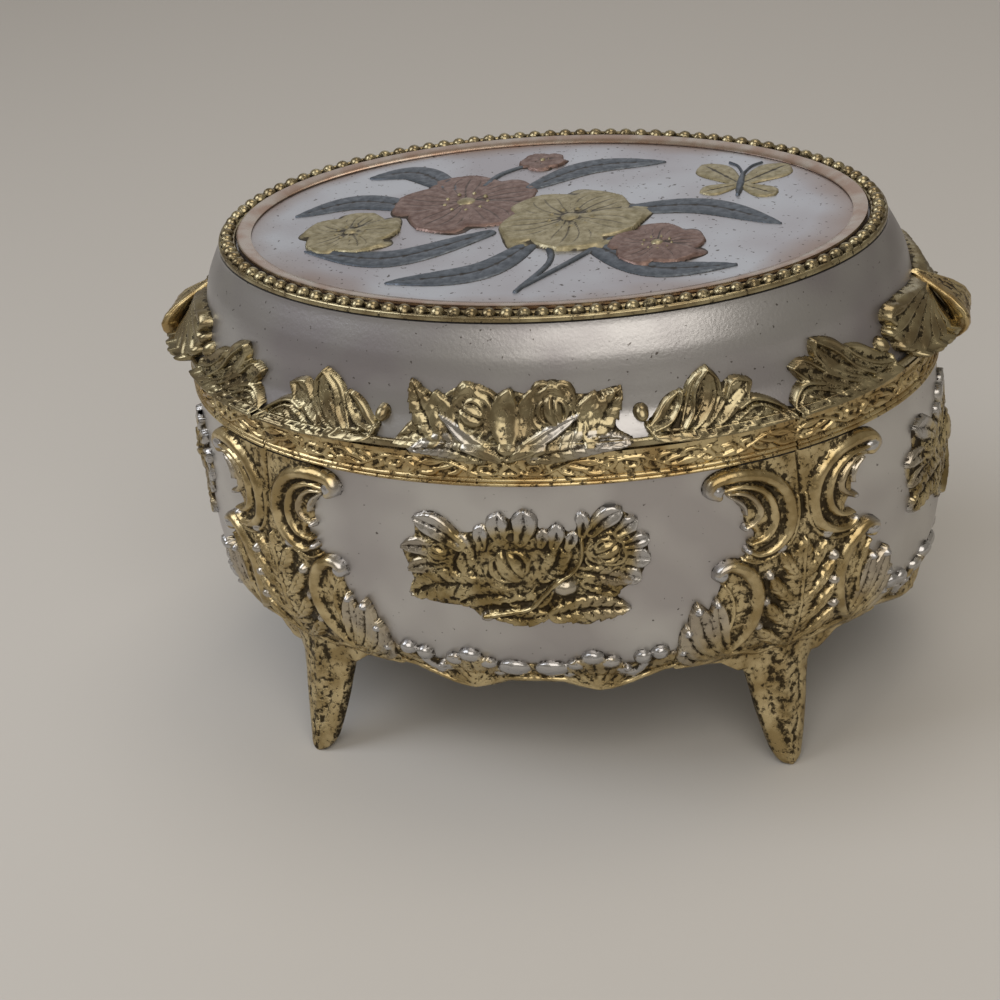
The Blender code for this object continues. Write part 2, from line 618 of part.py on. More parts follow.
def build_aprons():
    """The wavy lower edge between the legs."""
    foot = WALL_FOOT - APRON_DROP
    for side, middle_angle, cut_step in SIDES:
        at_end = side in ("left", "right")
        distance = SEAM_TO_END if at_end else SEAM_TO_FRONT
        lean_side = -1 if at_end else 1
        half_width = apron_half_width(distance, lean_side, WALL_FOOT)
        right_half = scaled(APRON_HALF_SHARES[::-1] + APRON_FOOT_SHARES[:0:-1], half_width, foot, APRON_HEIGHT)
        outline = both_halves(right_half + scaled(APRON_FOOT_SHARES[:1], half_width, foot, APRON_HEIGHT))
        base = seat_place(middle_angle, wall_offset, APRON_RELIEF)

        def place(across, up, depth, base=base, distance=distance, lean_side=lean_side, half_width=half_width):
            stretch = apron_half_width(distance, lean_side, up) / half_width
            return base(across * stretch, up, depth)

        relief(side + "_apron", outline, side_place(place, side), gilt, cut_step, [WALL_FOOT])


def build_inside():
    plate_edge = wall_offset(BOTTOM_PLATE_FOOT) - WALL_THICKNESS - SEAT_GAP
    oval_disc("bottom_plate", plate_edge, BOTTOM_PLATE_FOOT, BOTTOM_PLATE_THICKNESS, 0.0, steel)
    pad_edge = wall_offset(FLOOR_PAD_FOOT) - WALL_THICKNESS - SEAT_GAP
    oval_disc("floor_pad", pad_edge, FLOOR_PAD_FOOT, PAD_THICKNESS, 0.0, velvet)
    outer = min(wall_offset(LINING_FOOT), -WALL_TOP_INSET) - WALL_THICKNESS - SEAT_GAP
    inner = outer - LINING_THICKNESS
    top = BAND_TOP - LINING_DROP
    profile = [(outer, top), (outer, LINING_FOOT), (inner, LINING_FOOT), (inner, top)]
    swept("wall_lining", profile, velvet)


def build_lid_shell():
    heights = [LID_FOOT + share * LID_HEIGHT for share, inset in LID_SLOPE_SHARES]
    under_flange = LID_TOP - LID_THICKNESS
    outer = [(lid_offset(height), height) for height in heights]
    inner = [(offset - LID_THICKNESS, height) for offset, height in outer[::2] if height < under_flange]
    inner.append((lid_offset(under_flange) - LID_THICKNESS, under_flange))
    flange = lid_offset(LID_TOP) - LID_THICKNESS - LID_FLANGE_WIDTH
    profile = outer + [(flange, LID_TOP), (flange, under_flange)] + inner[::-1]
    swept("lid_shell", profile, silvered)


def build_lid_edge_moulding():
    inner = lid_offset(LID_FOOT) + SEAT_GAP
    round_off = LID_EDGE_HEIGHT / 4
    profile = [(inner, LID_FOOT), (0.0, LID_FOOT), (0.0, LID_EDGE_TOP - round_off),
               (-round_off, LID_EDGE_TOP), (inner, LID_EDGE_TOP)]
    swept("lid_edge_moulding", profile, gilt)


def build_lid_top():
    """The bead rim, the bezel inside it and the picture plate that they hold."""
    foot = LID_TOP + SEAT_GAP
    outer = -LID_SLOPE_INSET
    inner = outer - BEAD_RIM_WIDTH
    edge_top = foot + BEAD_RIM_HEIGHT
    bead_top = edge_top + BEAD_PROUD
    profile = [(outer, foot), (outer, edge_top), ((outer + inner) / 2, bead_top), (inner, edge_top), (inner, foot)]

    def dip(station, height):
        return BEAD_DIP if station % 2 and height > edge_top + BEAD_PROUD / 2 else 0.0

    swept("lid_bead_rim", profile, gilt, steps=2 * BEAD_COUNT, dip=dip)
    plate_edge = inner - SEAT_GAP
    oval_disc("lid_picture_plate", plate_edge, foot, PLATE_THICKNESS, PLATE_DOME, silvered)
    bezel_inner = plate_edge - BEZEL_WIDTH
    bezel_foot = foot + PLATE_THICKNESS + SEAT_GAP
    bezel_rise = dome_height(bezel_inner, plate_edge)
    profile = [(plate_edge, bezel_foot), (plate_edge, bezel_foot + BEZEL_EDGE + BEZEL_RISE),
               (bezel_inner, bezel_foot + bezel_rise + BEZEL_EDGE), (bezel_inner, bezel_foot + bezel_rise)]
    swept("lid_bezel", profile, copper_gilt)


def dome_height(offset, edge):
    """Rise of the plate's dome at an offset, along the front, where it is steepest."""
    share = (BAND_HALF_DEPTH + offset) / (BAND_HALF_DEPTH + edge)
    return PLATE_DOME * (1 - share ** 2)


def build_lid_lining():
    foot = LID_TOP - LID_THICKNESS - SEAT_GAP - PAD_THICKNESS
    edge = lid_offset(foot + PAD_THICKNESS) - LID_THICKNESS - SEAT_GAP
    oval_disc("lid_lining", edge, foot, PAD_THICKNESS, 0.0, velvet)


def lid_levels(foot, height):
    """Heights at which lid ornament is cut, so that it can step over the edge moulding."""
    step = LID_EDGE_TOP + SEAT_GAP
    return [step - SEAT_GAP / 4, step + SEAT_GAP / 4, foot + height * LID_LEVEL_SHARE]


def build_lid_roses():
    for side, foot in (("front", LID_FOOT - ROSES_OVERHANG), ("back", LID_FOOT + LID_LEAF_HEIGHT + ORNAMENT_GAP)):
        height = ROSES_HEIGHT if side == "front" else ROSES_HEIGHT - ROSES_OVERHANG - LID_LEAF_HEIGHT
        right_half = scaled(ROSES_HALF_SHARES, ROSES_WIDTH / 2, foot, height)
        outline = both_halves(right_half + [(0.0, foot + ROSES_FOOT_SHARE * height)])
        place = side_place(seat_place(-math.pi / 2, lid_seat, ROSES_RELIEF), side)
        relief("lid_" + side + "_roses", outline, place, gilt, SIDE_CUT_STEP, lid_levels(foot, height))


def build_lid_scrolls():
    """A scroll on each side of each seam, reaching to the roses or to the palmette."""
    front_length = SEAM_TO_FRONT - ROSES_WIDTH / 2 - SCROLL_SEAM_GAP - ORNAMENT_GAP
    end_length = SEAM_TO_END - PALMETTE_WIDTH / 2 - SCROLL_SEAM_GAP - ORNAMENT_GAP
    front_outline = [(-SCROLL_SEAM_GAP - across, up) for across, up in
                     scaled(FRONT_SCROLL_SHARES, front_length, LID_FOOT, SCROLL_HEIGHT)]
    end_outline = [(SCROLL_SEAM_GAP + across, up) for across, up in
                   scaled(END_SCROLL_SHARES, end_length, LID_FOOT, SCROLL_HEIGHT)]
    levels = lid_levels(LID_FOOT, SCROLL_HEIGHT)
    for corner, (side_x, side_y) in CORNERS.items():
        place = corner_place(seat_place(-SEAM_ANGLE, lid_seat, SCROLL_RELIEF), side_x, side_y)
        relief("lid_" + corner + "_long_scroll", front_outline, place, gilt, SIDE_CUT_STEP, levels)
        relief("lid_" + corner + "_end_scroll", end_outline, place, gilt, END_CUT_STEP, levels)


def build_palmettes():
    """The shell shaped leaf at each end, with a leaf that stands out of its middle."""
    foot = LID_FOOT - PALMETTE_OVERHANG
    right_half = scaled(PALMETTE_HALF_SHARES, PALMETTE_WIDTH / 2, foot, PALMETTE_HEIGHT)
    outline = both_halves(right_half + [(0.0, foot)])

    def end_leaf(across, up, depth):
        near_middle = max(0.0, 1 - abs(across) / PALMETTE_LEAF_WIDTH)
        below_top = math.sin(math.pi * min(1.0, max(0.0, (up - foot) / PALMETTE_HEIGHT)))
        thickness = PALMETTE_RELIEF + PALMETTE_LEAF_RISE * near_middle * below_top
        return oval_point(angle_at(0.0, across), lid_seat(up) + 2 * SEAT_GAP + thickness * depth, up)

    for side in ("left", "right"):
        place = side_place(end_leaf, side)
        relief(side + "_palmette", outline, place, gilt, END_CUT_STEP, lid_levels(foot, PALMETTE_HEIGHT))


def hinge_profile(leaf_end):
    """A knuckle and its leaf seen along the hinge, as Y and Z. The leaf ends at the given height."""
    back = BAND_HALF_DEPTH + SEAT_GAP
    front = back + HINGE_LEAF_THICKNESS
    turn = 1 if leaf_end < HINGE_HEIGHT else -1
    inset = HINGE_Y - front
    first = math.atan2(-math.sqrt(KNUCKLE_RADIUS ** 2 - inset ** 2), -inset)
    points = [(back, leaf_end), (front, leaf_end)]
    for i in range(KNUCKLE_POINTS + 1):
        angle = first + (math.pi - first) * i / KNUCKLE_POINTS
        rise = turn * KNUCKLE_RADIUS * math.sin(angle)
        points.append((HINGE_Y + KNUCKLE_RADIUS * math.cos(angle), HINGE_HEIGHT + rise))
    points.append((back, HINGE_HEIGHT))
    return points


def hinge_leaf(name, leaf_end, half_width):
    """A hinge leaf, its profile extruded along X, bored for the pin."""
    shape = bmesh.new()
    corners = [shape.verts.new((-half_width, y, z)) for y, z in hinge_profile(leaf_end)]
    side = shape.faces.new(corners)
    extruded = bmesh.ops.extrude_face_region(shape, geom=[side])
    moved = [item for item in extruded["geom"] if isinstance(item, bmesh.types.BMVert)]
    bmesh.ops.translate(shape, verts=moved, vec=(2 * half_width, 0, 0))
    return add_object(name, mesh_from(name, shape), gilt)


def cylinder_mesh(name, radius, length):
    """A cylinder along the hinge's axis."""
    shape = bmesh.new()
    bmesh.ops.create_cone(shape, cap_ends=True, segments=2 * KNUCKLE_POINTS, radius1=radius, radius2=radius,
                          depth=length)
    for vert in shape.verts:
        vert.co = (vert.co.z, vert.co.x, vert.co.y)
    mesh = mesh_from(name, shape)
    mesh.shade_smooth()
    mesh.set_sharp_from_angle(angle=math.radians(40))
    return mesh


def add_cutter(name, mesh, target):
    cutter = bpy.data.objects.new(name, mesh)
    cutter_collection.objects.link(cutter)
    cutter.hide_render = True
    cutter.display_type = "WIRE"
    cut = target.modifiers.new(name, "BOOLEAN")
    cut.operation = "DIFFERENCE"
    cut.object = cutter
    return cutter


def build_hinge():
    """Two knuckles on the body and one on the lid, round a pin that the body holds."""
    body_leaf = hinge_leaf("body_hinge_leaf", BAND_FOOT + SEAT_GAP, HINGE_HALF_WIDTH)
    lid_leaf = hinge_leaf("lid_hinge_leaf", LID_FOOT + LID_LEAF_HEIGHT, KNUCKLE_LENGTH / 2)
    for leaf in (body_leaf, lid_leaf):
        bore = add_cutter(leaf.name + "_bore", cylinder_mesh("bore", HINGE_BORE_RADIUS, 4 * KNUCKLE_LENGTH), leaf)
        bore.location = (0.0, HINGE_Y, HINGE_HEIGHT)
    notch_mesh = bpy.data.meshes.new("notch")
    shape = bmesh.new()
    bmesh.ops.create_cube(shape, size=1)
    notch_height = 2 * (KNUCKLE_RADIUS + SEAT_GAP)
    bmesh.ops.scale(shape, vec=(KNUCKLE_LENGTH + 2 * SEAT_GAP, 4 * KNUCKLE_RADIUS, notch_height + OVERRUN),
                    verts=shape.verts[:])
    shape.to_mesh(notch_mesh)
    shape.free()
    notch = add_cutter("notch", notch_mesh, body_leaf)
    notch.location = (0.0, HINGE_Y - KNUCKLE_RADIUS / 2, HINGE_HEIGHT + OVERRUN / 2)
    pin_length = 2 * (HINGE_HALF_WIDTH + HINGE_PIN_END)
    pin = add_object("hinge_pin", cylinder_mesh("hinge_pin", HINGE_PIN_RADIUS, pin_length), steel)
    pin.location = (0.0, HINGE_Y, HINGE_HEIGHT)


def hang_lid():
    """An empty on the hinge's axis carries every piece of the lid."""
    lid_pivot = bpy.data.objects.new("lid_pivot", None)
    box_collection.objects.link(lid_pivot)
    lid_pivot.location = (0.0, HINGE_Y, HINGE_HEIGHT)
    bpy.context.view_layer.update()
    for piece in box_collection.objects:
        if piece.name.startswith("lid_") and piece is not lid_pivot or piece.name.endswith("_palmette"):
            piece.parent = lid_pivot
            piece.matrix_parent_inverse = lid_pivot.matrix_world.inverted()


build_walls()
build_rim_bands()
build_legs()
build_rose_sprays()
build_aprons()
build_inside()
build_lid_shell()
build_lid_edge_moulding()
build_lid_top()
build_lid_lining()
build_lid_roses()
build_lid_scrolls()
build_palmettes()
build_hinge()
hang_lid()
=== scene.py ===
"""The looks of an oval footed trinket box of silvered and gilt cast metal.

Metres, +Z up. An offset is a distance outwards from the oval of the rim band. Ornament is modelled
flat, as distances across and up, and is then bent onto the wall or the lid that carries it.
"""

import math

import bmesh
import bpy
import numpy as np
from mathutils import Matrix, Vector


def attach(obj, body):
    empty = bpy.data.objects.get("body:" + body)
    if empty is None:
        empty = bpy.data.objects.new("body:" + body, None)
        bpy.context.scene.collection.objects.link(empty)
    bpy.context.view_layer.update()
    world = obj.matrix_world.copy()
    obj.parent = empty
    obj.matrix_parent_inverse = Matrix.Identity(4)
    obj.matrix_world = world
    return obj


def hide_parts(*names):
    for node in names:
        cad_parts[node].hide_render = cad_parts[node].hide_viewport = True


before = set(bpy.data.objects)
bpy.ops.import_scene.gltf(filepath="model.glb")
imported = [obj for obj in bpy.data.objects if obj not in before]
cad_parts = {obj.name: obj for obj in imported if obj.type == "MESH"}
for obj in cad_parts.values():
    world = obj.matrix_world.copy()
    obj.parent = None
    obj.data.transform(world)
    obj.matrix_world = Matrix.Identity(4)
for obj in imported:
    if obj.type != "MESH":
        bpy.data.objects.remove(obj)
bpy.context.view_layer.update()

# Oval of the rim band, and the heights from the table up
BAND_HALF_LENGTH = 0.0700
BAND_HALF_DEPTH = 0.0511
WALL_FOOT = 0.0215
WALL_HEIGHT = 0.0400
WALL_TOP = WALL_FOOT + WALL_HEIGHT
SEAT_GAP = 0.0003
BAND_FOOT = WALL_TOP + SEAT_GAP
BAND_HEIGHT = 0.0062
BAND_TOP = BAND_FOOT + BAND_HEIGHT
LID_FOOT = BAND_TOP + SEAT_GAP
LID_HEIGHT = 0.0199
LID_TOP = LID_FOOT + LID_HEIGHT
LID_EDGE_HEIGHT = 0.0015
LID_EDGE_TOP = LID_FOOT + LID_EDGE_HEIGHT
SEAM_ANGLE = math.radians(47.6)

# Walls
WALL_THICKNESS = 0.0018
WALL_TOP_INSET = 0.0009
WALL_FOOT_INSET = 0.0040
WALL_LEDGE_WIDTH = 0.0020
WALL_LEDGE_HEIGHT = 0.0012
WALL_TOP_CURVE_SHARE = 0.55
WALL_FOOT_CURVE_SHARE = 0.42

# Rim band
REED_COUNT = 2
REED_HEIGHT = 0.00085
REED_PROUD = 0.0004
BAND_FACE_INSET = 0.0005
BAND_FILLET_HEIGHT = 0.0008
BAND_FILLET_INSET = 0.00015
BAND_CARVING_HEIGHT = 0.0005
BAND_UNIT_LENGTH = 0.0166

# Lid
LID_THICKNESS = 0.0015
LID_SLOPE_INSET = 0.0088
LID_FLANGE_WIDTH = 0.0060
LID_SLOPE_SHARES = ((0.0, 0.105), (0.1, 0.22), (0.25, 0.42), (0.42, 0.535),
                    (0.6, 0.60), (0.72, 0.68), (0.85, 0.82), (1.0, 1.0))
LID_SOFTENING_SHARES = (-0.03, 0.0, 0.03)
BEAD_COUNT = 108
BEAD_RIM_WIDTH = 0.0032
BEAD_RIM_HEIGHT = 0.0009
BEAD_RADIUS = 0.00135
BEAD_SEGMENTS, BEAD_RINGS = 16, 10
BEAD_SEAT_SHARE = 0.62
BEAD_SQUASH_SHARE = 0.98
# Painted shade on each bead, darkest at its foot in the channel: the height it fades out over, and its
# strength
BEAD_SHADE_HEIGHT = 0.0016
BEAD_SHADE_SHARE = 1.8
BEAD_RAIL_RADIUS = 0.00045
BEAD_CHANNEL_FLOOR = 0.0003
BEZEL_WIDTH = 0.0026
# Section of the bezel: in from its outer edge and up, then out from its inner edge and up
BEZEL_OUTER_NOSE = ((0.0, 0.0009), (0.0004, 0.001))
BEZEL_INNER_NOSE = ((0.0003, 0.00045), (0.0, 0.0003), (0.0, 0.0001))
PLATE_RINGS = 24
PLATE_THICKNESS = 0.0005
PLATE_DOME = 0.0007

# Ornament. Its tables of places are in millimetres: across from its middle, and up from the table.
MM = 0.001
LEG_REACH = 0.0214
LEG_RELIEF = 0.0020
LEG_LEAN = 0.0053
TOE_FLARE = 0.0038
TOE_LIFT = 0.0009
LEG_DEPTH = 0.0062
TOE_DEPTH = 0.0042
FOOT_TOP = 0.0235
SPRAY_REACH = 0.0225
SPRAY_MIDDLE = 0.0457
SPRAY_RELIEF = 0.0018
APRON_HEIGHT = 0.0107
APRON_DROP = 0.0036
APRON_RELIEF = 0.0016
ROSES_REACH = 0.0214
ROSES_RELIEF = 0.0019
SCROLL_HEIGHT = 0.0111
SCROLL_RELIEF = 0.0016
PALMETTE_REACH = 0.0215
PALMETTE_RELIEF = 0.0020
PALMETTE_FLARE = 0.0032
PALMETTE_DIP = 0.0046
ORNAMENT_GAP = 0.0006
SOLDER_SHARE = 0.8

# Linings
LEDGE_TOP = WALL_FOOT + WALL_LEDGE_HEIGHT
FLOOR_PAD_FOOT = 0.0245
PAD_THICKNESS = 0.0015
LINING_FOOT = 0.0263
LINING_TOP = 0.0670
LINING_THICKNESS = 0.0010
LINING_STEPS = 12
PAD_CROWN = 0.0002
PAD_SEGMENTS, PAD_RINGS = 96, 16
PAD_ROUNDING_SHARE = 0.03
PAD_EDGE_SHARE = 0.25
PAD_WAVES = (95, 70)
PAD_WAVE_SHARE = 0.12

# Fineness
CELL = 0.00022
FINE_CELL = 0.00018
SINK = 0.0006
HEM_DEPTH = 0.0016
PATH_STEPS = 7
LEAST_STEP = 1e-9
RING_STEPS = 216
SECTION_STEPS = 64
SECTION_POINTS = 41
NOSE_POINTS = 9
RAIL_POINTS = 7
FINE_BLUR = 6
BROAD_BLUR = 45
TIP_BLUR = 60
DENT_BLUR = 3
KEPT_SHARE = 0.85
MERGE_DISTANCE = 0.000005
HEM_ROLL_SHARES = ((1.0, 1.5), (1.0, 0.0), (0.9, -0.08), (0.5, -0.14), (0.15, -0.08))
CREASE_ANGLE = math.radians(35)
CAST_CREASE_ANGLE = math.radians(60)
CLOTH_CREASE_ANGLE = math.radians(80)
RECESS_DEPTH = 0.0003
FINE_RECESS_DEPTH = 0.00007

# A leaf: its teeth, veins, midrib and ribs, and where the silver at its tip starts
LEAF_TAPER = 0.8
LEAF_TOOTH_SHARE = 0.22
LEAF_LEAST_SHARE = 0.02
LEAF_INNER_SHARE = 0.9
DISHED_ROUNDNESS = 5
RIDGED_ROUNDNESS = 2.6
VEIN_SLANT_SHARE = 0.75
VEIN_DEPTH_SHARE = 0.16
MIDRIB_WIDTH_SHARE = 0.13
MIDRIB_DEPTH_SHARE = 0.25
TIP_START_SHARE = 0.25
TIP_LENGTH_SHARE = 0.35
FALL_OFF = 2.5
# A rose's outer petals, and its rims: reach, start, sweep, foot and width, as shares
ROSE_PETALS = 5
ROSE_RIM_SHARES = ((0.95, 0.02, 0.18, 0.02, 0.12), (0.95, 0.22, 0.18, 0.02, 0.12),
    (0.95, 0.42, 0.18, 0.02, 0.12), (0.95, 0.62, 0.18, 0.02, 0.12), (0.95, 0.82, 0.18, 0.02, 0.12),
    (0.72, 0.08, 0.28, 0.22, 0.12), (0.74, 0.42, 0.26, 0.24, 0.12), (0.7, 0.75, 0.26, 0.2, 0.12),
    (0.5, 0.3, 0.36, 0.42, 0.11), (0.48, 0.8, 0.36, 0.44, 0.11))
ROSE_MARGIN_SHARE = 1.2
ROSE_LOBE_SHARE = 0.12
ROSE_DOME_SHARE = 0.62
RIM_POINTS = 5
RIM_REACH_SHARE = 0.9
RIM_BULGE_SHARE = 0.14
RIM_TAPER_SHARE = 0.3
RIM_LIFT_SHARE = 0.42
BUD_SHARE = 0.36
BUD_SQUASH_SHARE = 0.72
BUD_FOOT_SHARE = 0.55
BUD_LIFT_SHARE = 0.65
BUD_ROUNDNESS = 2.2
CREASE_DEPTH_SHARE = 0.3
CREASE_WIDTH_SHARE = 0.05
CREASE_BEND_SHARE = 0.4
CREASE_SHIFT_SHARE = 0.04
STIPPLE_SEED = 7

# Sizes of the patterns in the finishes
CLOUD_SIZE = 0.022
SPECK_SIZE = 0.0009
SPECK_BLEND = 0.04
SPOT_SIZE = 0.0011
SPOT_BLEND = 0.1
INLAY_GRAIN = 0.0014
CAST_GRAIN = 0.0006
CAST_GRAIN_DEPTH = 0.00012
PIT_DEPTH = 0.0002
SPOTS_PER_CLOUD = 4
PRESSED_SIZE = 0.009
PILE_SIZE = 0.0006
PILE_DEPTH = 0.0003
STEEL_CLOUD_SIZE = 0.004
STEEL_GRAIN = 0.0007
STEEL_GRAIN_DEPTH = 0.0001
HOLLOW_AND_SHADE_SHARE = 0.2
SILVER_SHARE = 0.07
PLATE_HALF_LENGTH = BAND_HALF_LENGTH - LID_SLOPE_INSET - BEAD_RIM_WIDTH - SEAT_GAP
PLATE_HALF_DEPTH = BAND_HALF_DEPTH - LID_SLOPE_INSET - BEAD_RIM_WIDTH - SEAT_GAP

# Distances along the oval by angle, from one turn back to one turn on
TABLE_LENGTH = 7201
TABLE_ANGLES = np.linspace(-math.tau, math.tau, TABLE_LENGTH)
TABLE_SPEEDS = np.hypot(BAND_HALF_LENGTH * np.sin(TABLE_ANGLES), BAND_HALF_DEPTH * np.cos(TABLE_ANGLES))
TABLE_STEPS = (TABLE_SPEEDS[1:] + TABLE_SPEEDS[:-1]) / 2 * np.diff(TABLE_ANGLES)
TABLE_ARCS = np.concatenate(([0.0], np.cumsum(TABLE_STEPS)))

CORNERS = {"front_right": (1, -1), "front_left": (-1, -1), "back_right": (1, 1), "back_left": (-1, 1)}
SIDES = {"front": -math.pi / 2, "right": 0.0, "back": math.pi / 2, "left": math.pi}


# The oval and the surfaces that carry the ornament

def wall_offset(height):
    share = (height - WALL_FOOT) / WALL_HEIGHT
    above = np.maximum(0.0, (share - WALL_TOP_CURVE_SHARE) / (1 - WALL_TOP_CURVE_SHARE))
    below = np.clip((WALL_FOOT_CURVE_SHARE - share) / WALL_FOOT_CURVE_SHARE, 0.0, 1.0)
    return -WALL_TOP_INSET * above ** 2 - WALL_FOOT_INSET * below ** 3


def lid_offset(height):
    heights, insets = zip(*LID_SLOPE_SHARES)
    share = (height - LID_FOOT) / LID_HEIGHT
    softened = sum(np.interp(share + shift, heights, insets) for shift in LID_SOFTENING_SHARES)
    softened = softened / len(LID_SOFTENING_SHARES)
    return -LID_SLOPE_INSET * softened


def lid_seat(height):
    """The edge moulding below, then the slope of the lid."""
    return np.where(height < LID_EDGE_TOP, 0.0, lid_offset(height))


def arc_at(angle):
    return np.interp(angle, TABLE_ANGLES, TABLE_ARCS)


def angle_at(start_angle, distance):
    return np.interp(arc_at(start_angle) + distance, TABLE_ARCS, TABLE_ANGLES)


def on_oval(angle, offset, height):
    points = (BAND_HALF_LENGTH + offset) * np.cos(angle), (BAND_HALF_DEPTH + offset) * np.sin(angle), height
    return np.stack(np.broadcast_arrays(*points), axis=-1)


SEAM_TO_FRONT = float(arc_at(-SEAM_ANGLE) - arc_at(-math.pi / 2))
SEAM_TO_END = float(arc_at(0.0) - arc_at(-SEAM_ANGLE))


def seat_place(middle_angle, seat):
    """Bends a flat ornament onto its seat, about a middle angle."""
    def place(across, up, level):
        return on_oval(angle_at(middle_angle, across), seat(up) + level, up)

    return place


# Modelling a relief flat, like wax on a slab

class Relief:
    """A fine grid of places. Each shape raises it wherever that shape stands highest."""

    def __init__(self, left, right, foot, top, cell=CELL, edge=None):
        columns = math.ceil((right - left) / cell)
        rows = math.ceil((top - foot) / cell)
        self.across, share = np.meshgrid(np.linspace(left, right, columns + 1), np.linspace(0, 1, rows + 1))
        low = foot if edge is None else edge(self.across)
        self.up = low + (top - low) * share
        self.level = np.full(self.across.shape, -SINK)
        self.silver = np.zeros(self.across.shape)

    def near(self, places, reach):
        low, high = np.min(places, axis=0) - reach, np.max(places, axis=0) + reach
        return ((self.across > low[0]) & (self.across < high[0])
                & (self.up > low[1]) & (self.up < high[1]))

    def raise_to(self, near, level, silver):
        higher = level > self.level[near]
        self.level[near] = np.where(higher, level, self.level[near])
        self.silver[near] = np.where(higher, silver, self.silver[near])


def in_metres(places, hand=1):
    return [(hand * across * MM, up * MM) for across, up in places]


def smooth_path(places):
    """A curve through a few places."""
    places = np.array(places, float)
    if len(places) == 1:
        places = np.vstack((places, places))
    ends = np.vstack((2 * places[0] - places[1], places, 2 * places[-1] - places[-2]))
    share = np.linspace(0, 1, PATH_STEPS + 1)[1:, None]
    path = [places[:1]]
    for a, b, c, d in zip(ends, ends[1:], ends[2:], ends[3:]):
        bend = 2 * a - 5 * b + 4 * c - d
        twist = 3 * b - a - 3 * c + d
        path.append((2 * b + (c - a) * share + bend * share ** 2 + twist * share ** 3) / 2)
    return np.vstack(path)


def follow(path, across, up):
    """For each point, the share of the path next to it and its distance from it, signed by side."""
    gap = np.full(across.shape, np.inf)
    share = np.zeros(across.shape)
    side = np.ones(across.shape)
    steps = np.diff(path, axis=0)
    lengths = np.hypot(*steps.T) + LEAST_STEP
    starts = np.concatenate(([0.0], np.cumsum(lengths)))
    for start, step, length, begun in zip(path, steps, lengths, starts):
        along = np.clip(((across - start[0]) * step[0] + (up - start[1]) * step[1]) / length ** 2, 0, 1)
        off_x = across - start[0] - along * step[0]
        off_y = up - start[1] - along * step[1]
        distance = np.hypot(off_x, off_y)
        nearer = distance < gap
        gap = np.where(nearer, distance, gap)
        share = np.where(nearer, (begun + along * length) / starts[-1], share)
        side = np.where(nearer, np.where(step[0] * off_y - step[1] * off_x < 0, -1.0, 1.0), side)
    return share, gap * side


def domed(ratio, roundness):
    """Height of a crowned section: 1 in the middle, 0 at the edge and falling beyond it."""
    inside = np.sqrt(np.clip(1 - np.abs(ratio) ** roundness, 0, 1))
    return np.where(np.abs(ratio) < 1, inside, -FALL_OFF * (np.abs(ratio) - 1))


def cord(relief, places, widths, lift, silver=0.0, base=0.0, roundness=2):
    """A rounded stem or scroll along a curve, as wide as the widths given along it."""
    path = smooth_path(places)
    near = relief.near(path, 2 * max(widths))
    share, side = follow(path, relief.across[near], relief.up[near])
    width = np.interp(share, np.linspace(0, 1, len(widths)), widths)
    relief.raise_to(near, base + lift * domed(side / width, roundness), silver)


def leaf(relief, places, width, lift, silver=0.0, base=0.0, teeth=0, veins=0, ribs=0, dish=0.25, stem=0.35,
         fullest=0.42):
    """A leaf along its midrib. A dish above 0 hollows it, below 0 it gives a ridge. Ribs run lengthwise."""
    path = smooth_path(places)
    near = relief.near(path, 2 * width)
    share, side = follow(path, relief.across[near], relief.up[near])
    power = math.log(0.5) / math.log(fullest)
    body = np.sin(math.pi * np.clip(share, 0, 1) ** power) ** LEAF_TAPER
    body = np.where(share < fullest, stem + (1 - stem) * body, body)
    if teeth:
        body = body * (1 - LEAF_TOOTH_SHARE * ((share * teeth) % 1.0))
    ratio = side / (width * body + width * LEAF_LEAST_SHARE)
    hollow = 1 - dish * (1 - np.minimum(np.abs(ratio), 1) ** 1.5)
    level = base + lift * domed(ratio, DISHED_ROUNDNESS if dish > 0 else RIDGED_ROUNDNESS) * hollow
    inner = np.abs(ratio) < LEAF_INNER_SHARE
    if veins:
        groove = np.maximum(0, np.cos(math.tau * (share * veins - VEIN_SLANT_SHARE * np.abs(ratio)))) ** 4
        midrib = np.exp(-(side / (MIDRIB_WIDTH_SHARE * width)) ** 2)
        level = level - inner * lift * (VEIN_DEPTH_SHARE * groove + MIDRIB_DEPTH_SHARE * midrib)
    if ribs:
        groove = np.maximum(0, np.cos(math.pi * ribs * ratio)) ** 3
        level = level - inner * lift * VEIN_DEPTH_SHARE * groove
    relief.raise_to(near, level, silver * np.clip((share - TIP_START_SHARE) / TIP_LENGTH_SHARE, 0, 1))


def slab(relief, outline, lift, edge):
    """Fills an outline with a level ground whose edge is rounded."""
    closed = smooth_path(list(outline) + [outline[0]])
    near = relief.near(closed, 2 * edge)
    across, up = relief.across[near], relief.up[near]
    _, side = follow(closed, across, up)
    inside = np.zeros(across.shape, bool)
    for (start_x, start_y), (end_x, end_y) in zip(closed, closed[1:]):
        if start_y != end_y:
            border = start_x + (up - start_y) * (end_x - start_x) / (end_y - start_y)
            inside ^= ((start_y > up) != (end_y > up)) & (across < border)
    crown = np.sqrt(1 - (1 - np.clip(np.abs(side) / edge, 0, 1)) ** 2)
    relief.raise_to(near, np.where(inside, lift * crown, -2 * np.abs(side)), 0.0)


def ball(relief, place, radius, lift, silver=0.0, base=0.0, squash=1.0):
    near = relief.near([place], radius * 2 * max(1, squash))
    ratio = np.hypot((relief.across[near] - place[0]) / squash, relief.up[near] - place[1]) / radius
    relief.raise_to(near, base + lift * domed(ratio, roundness=2), silver)


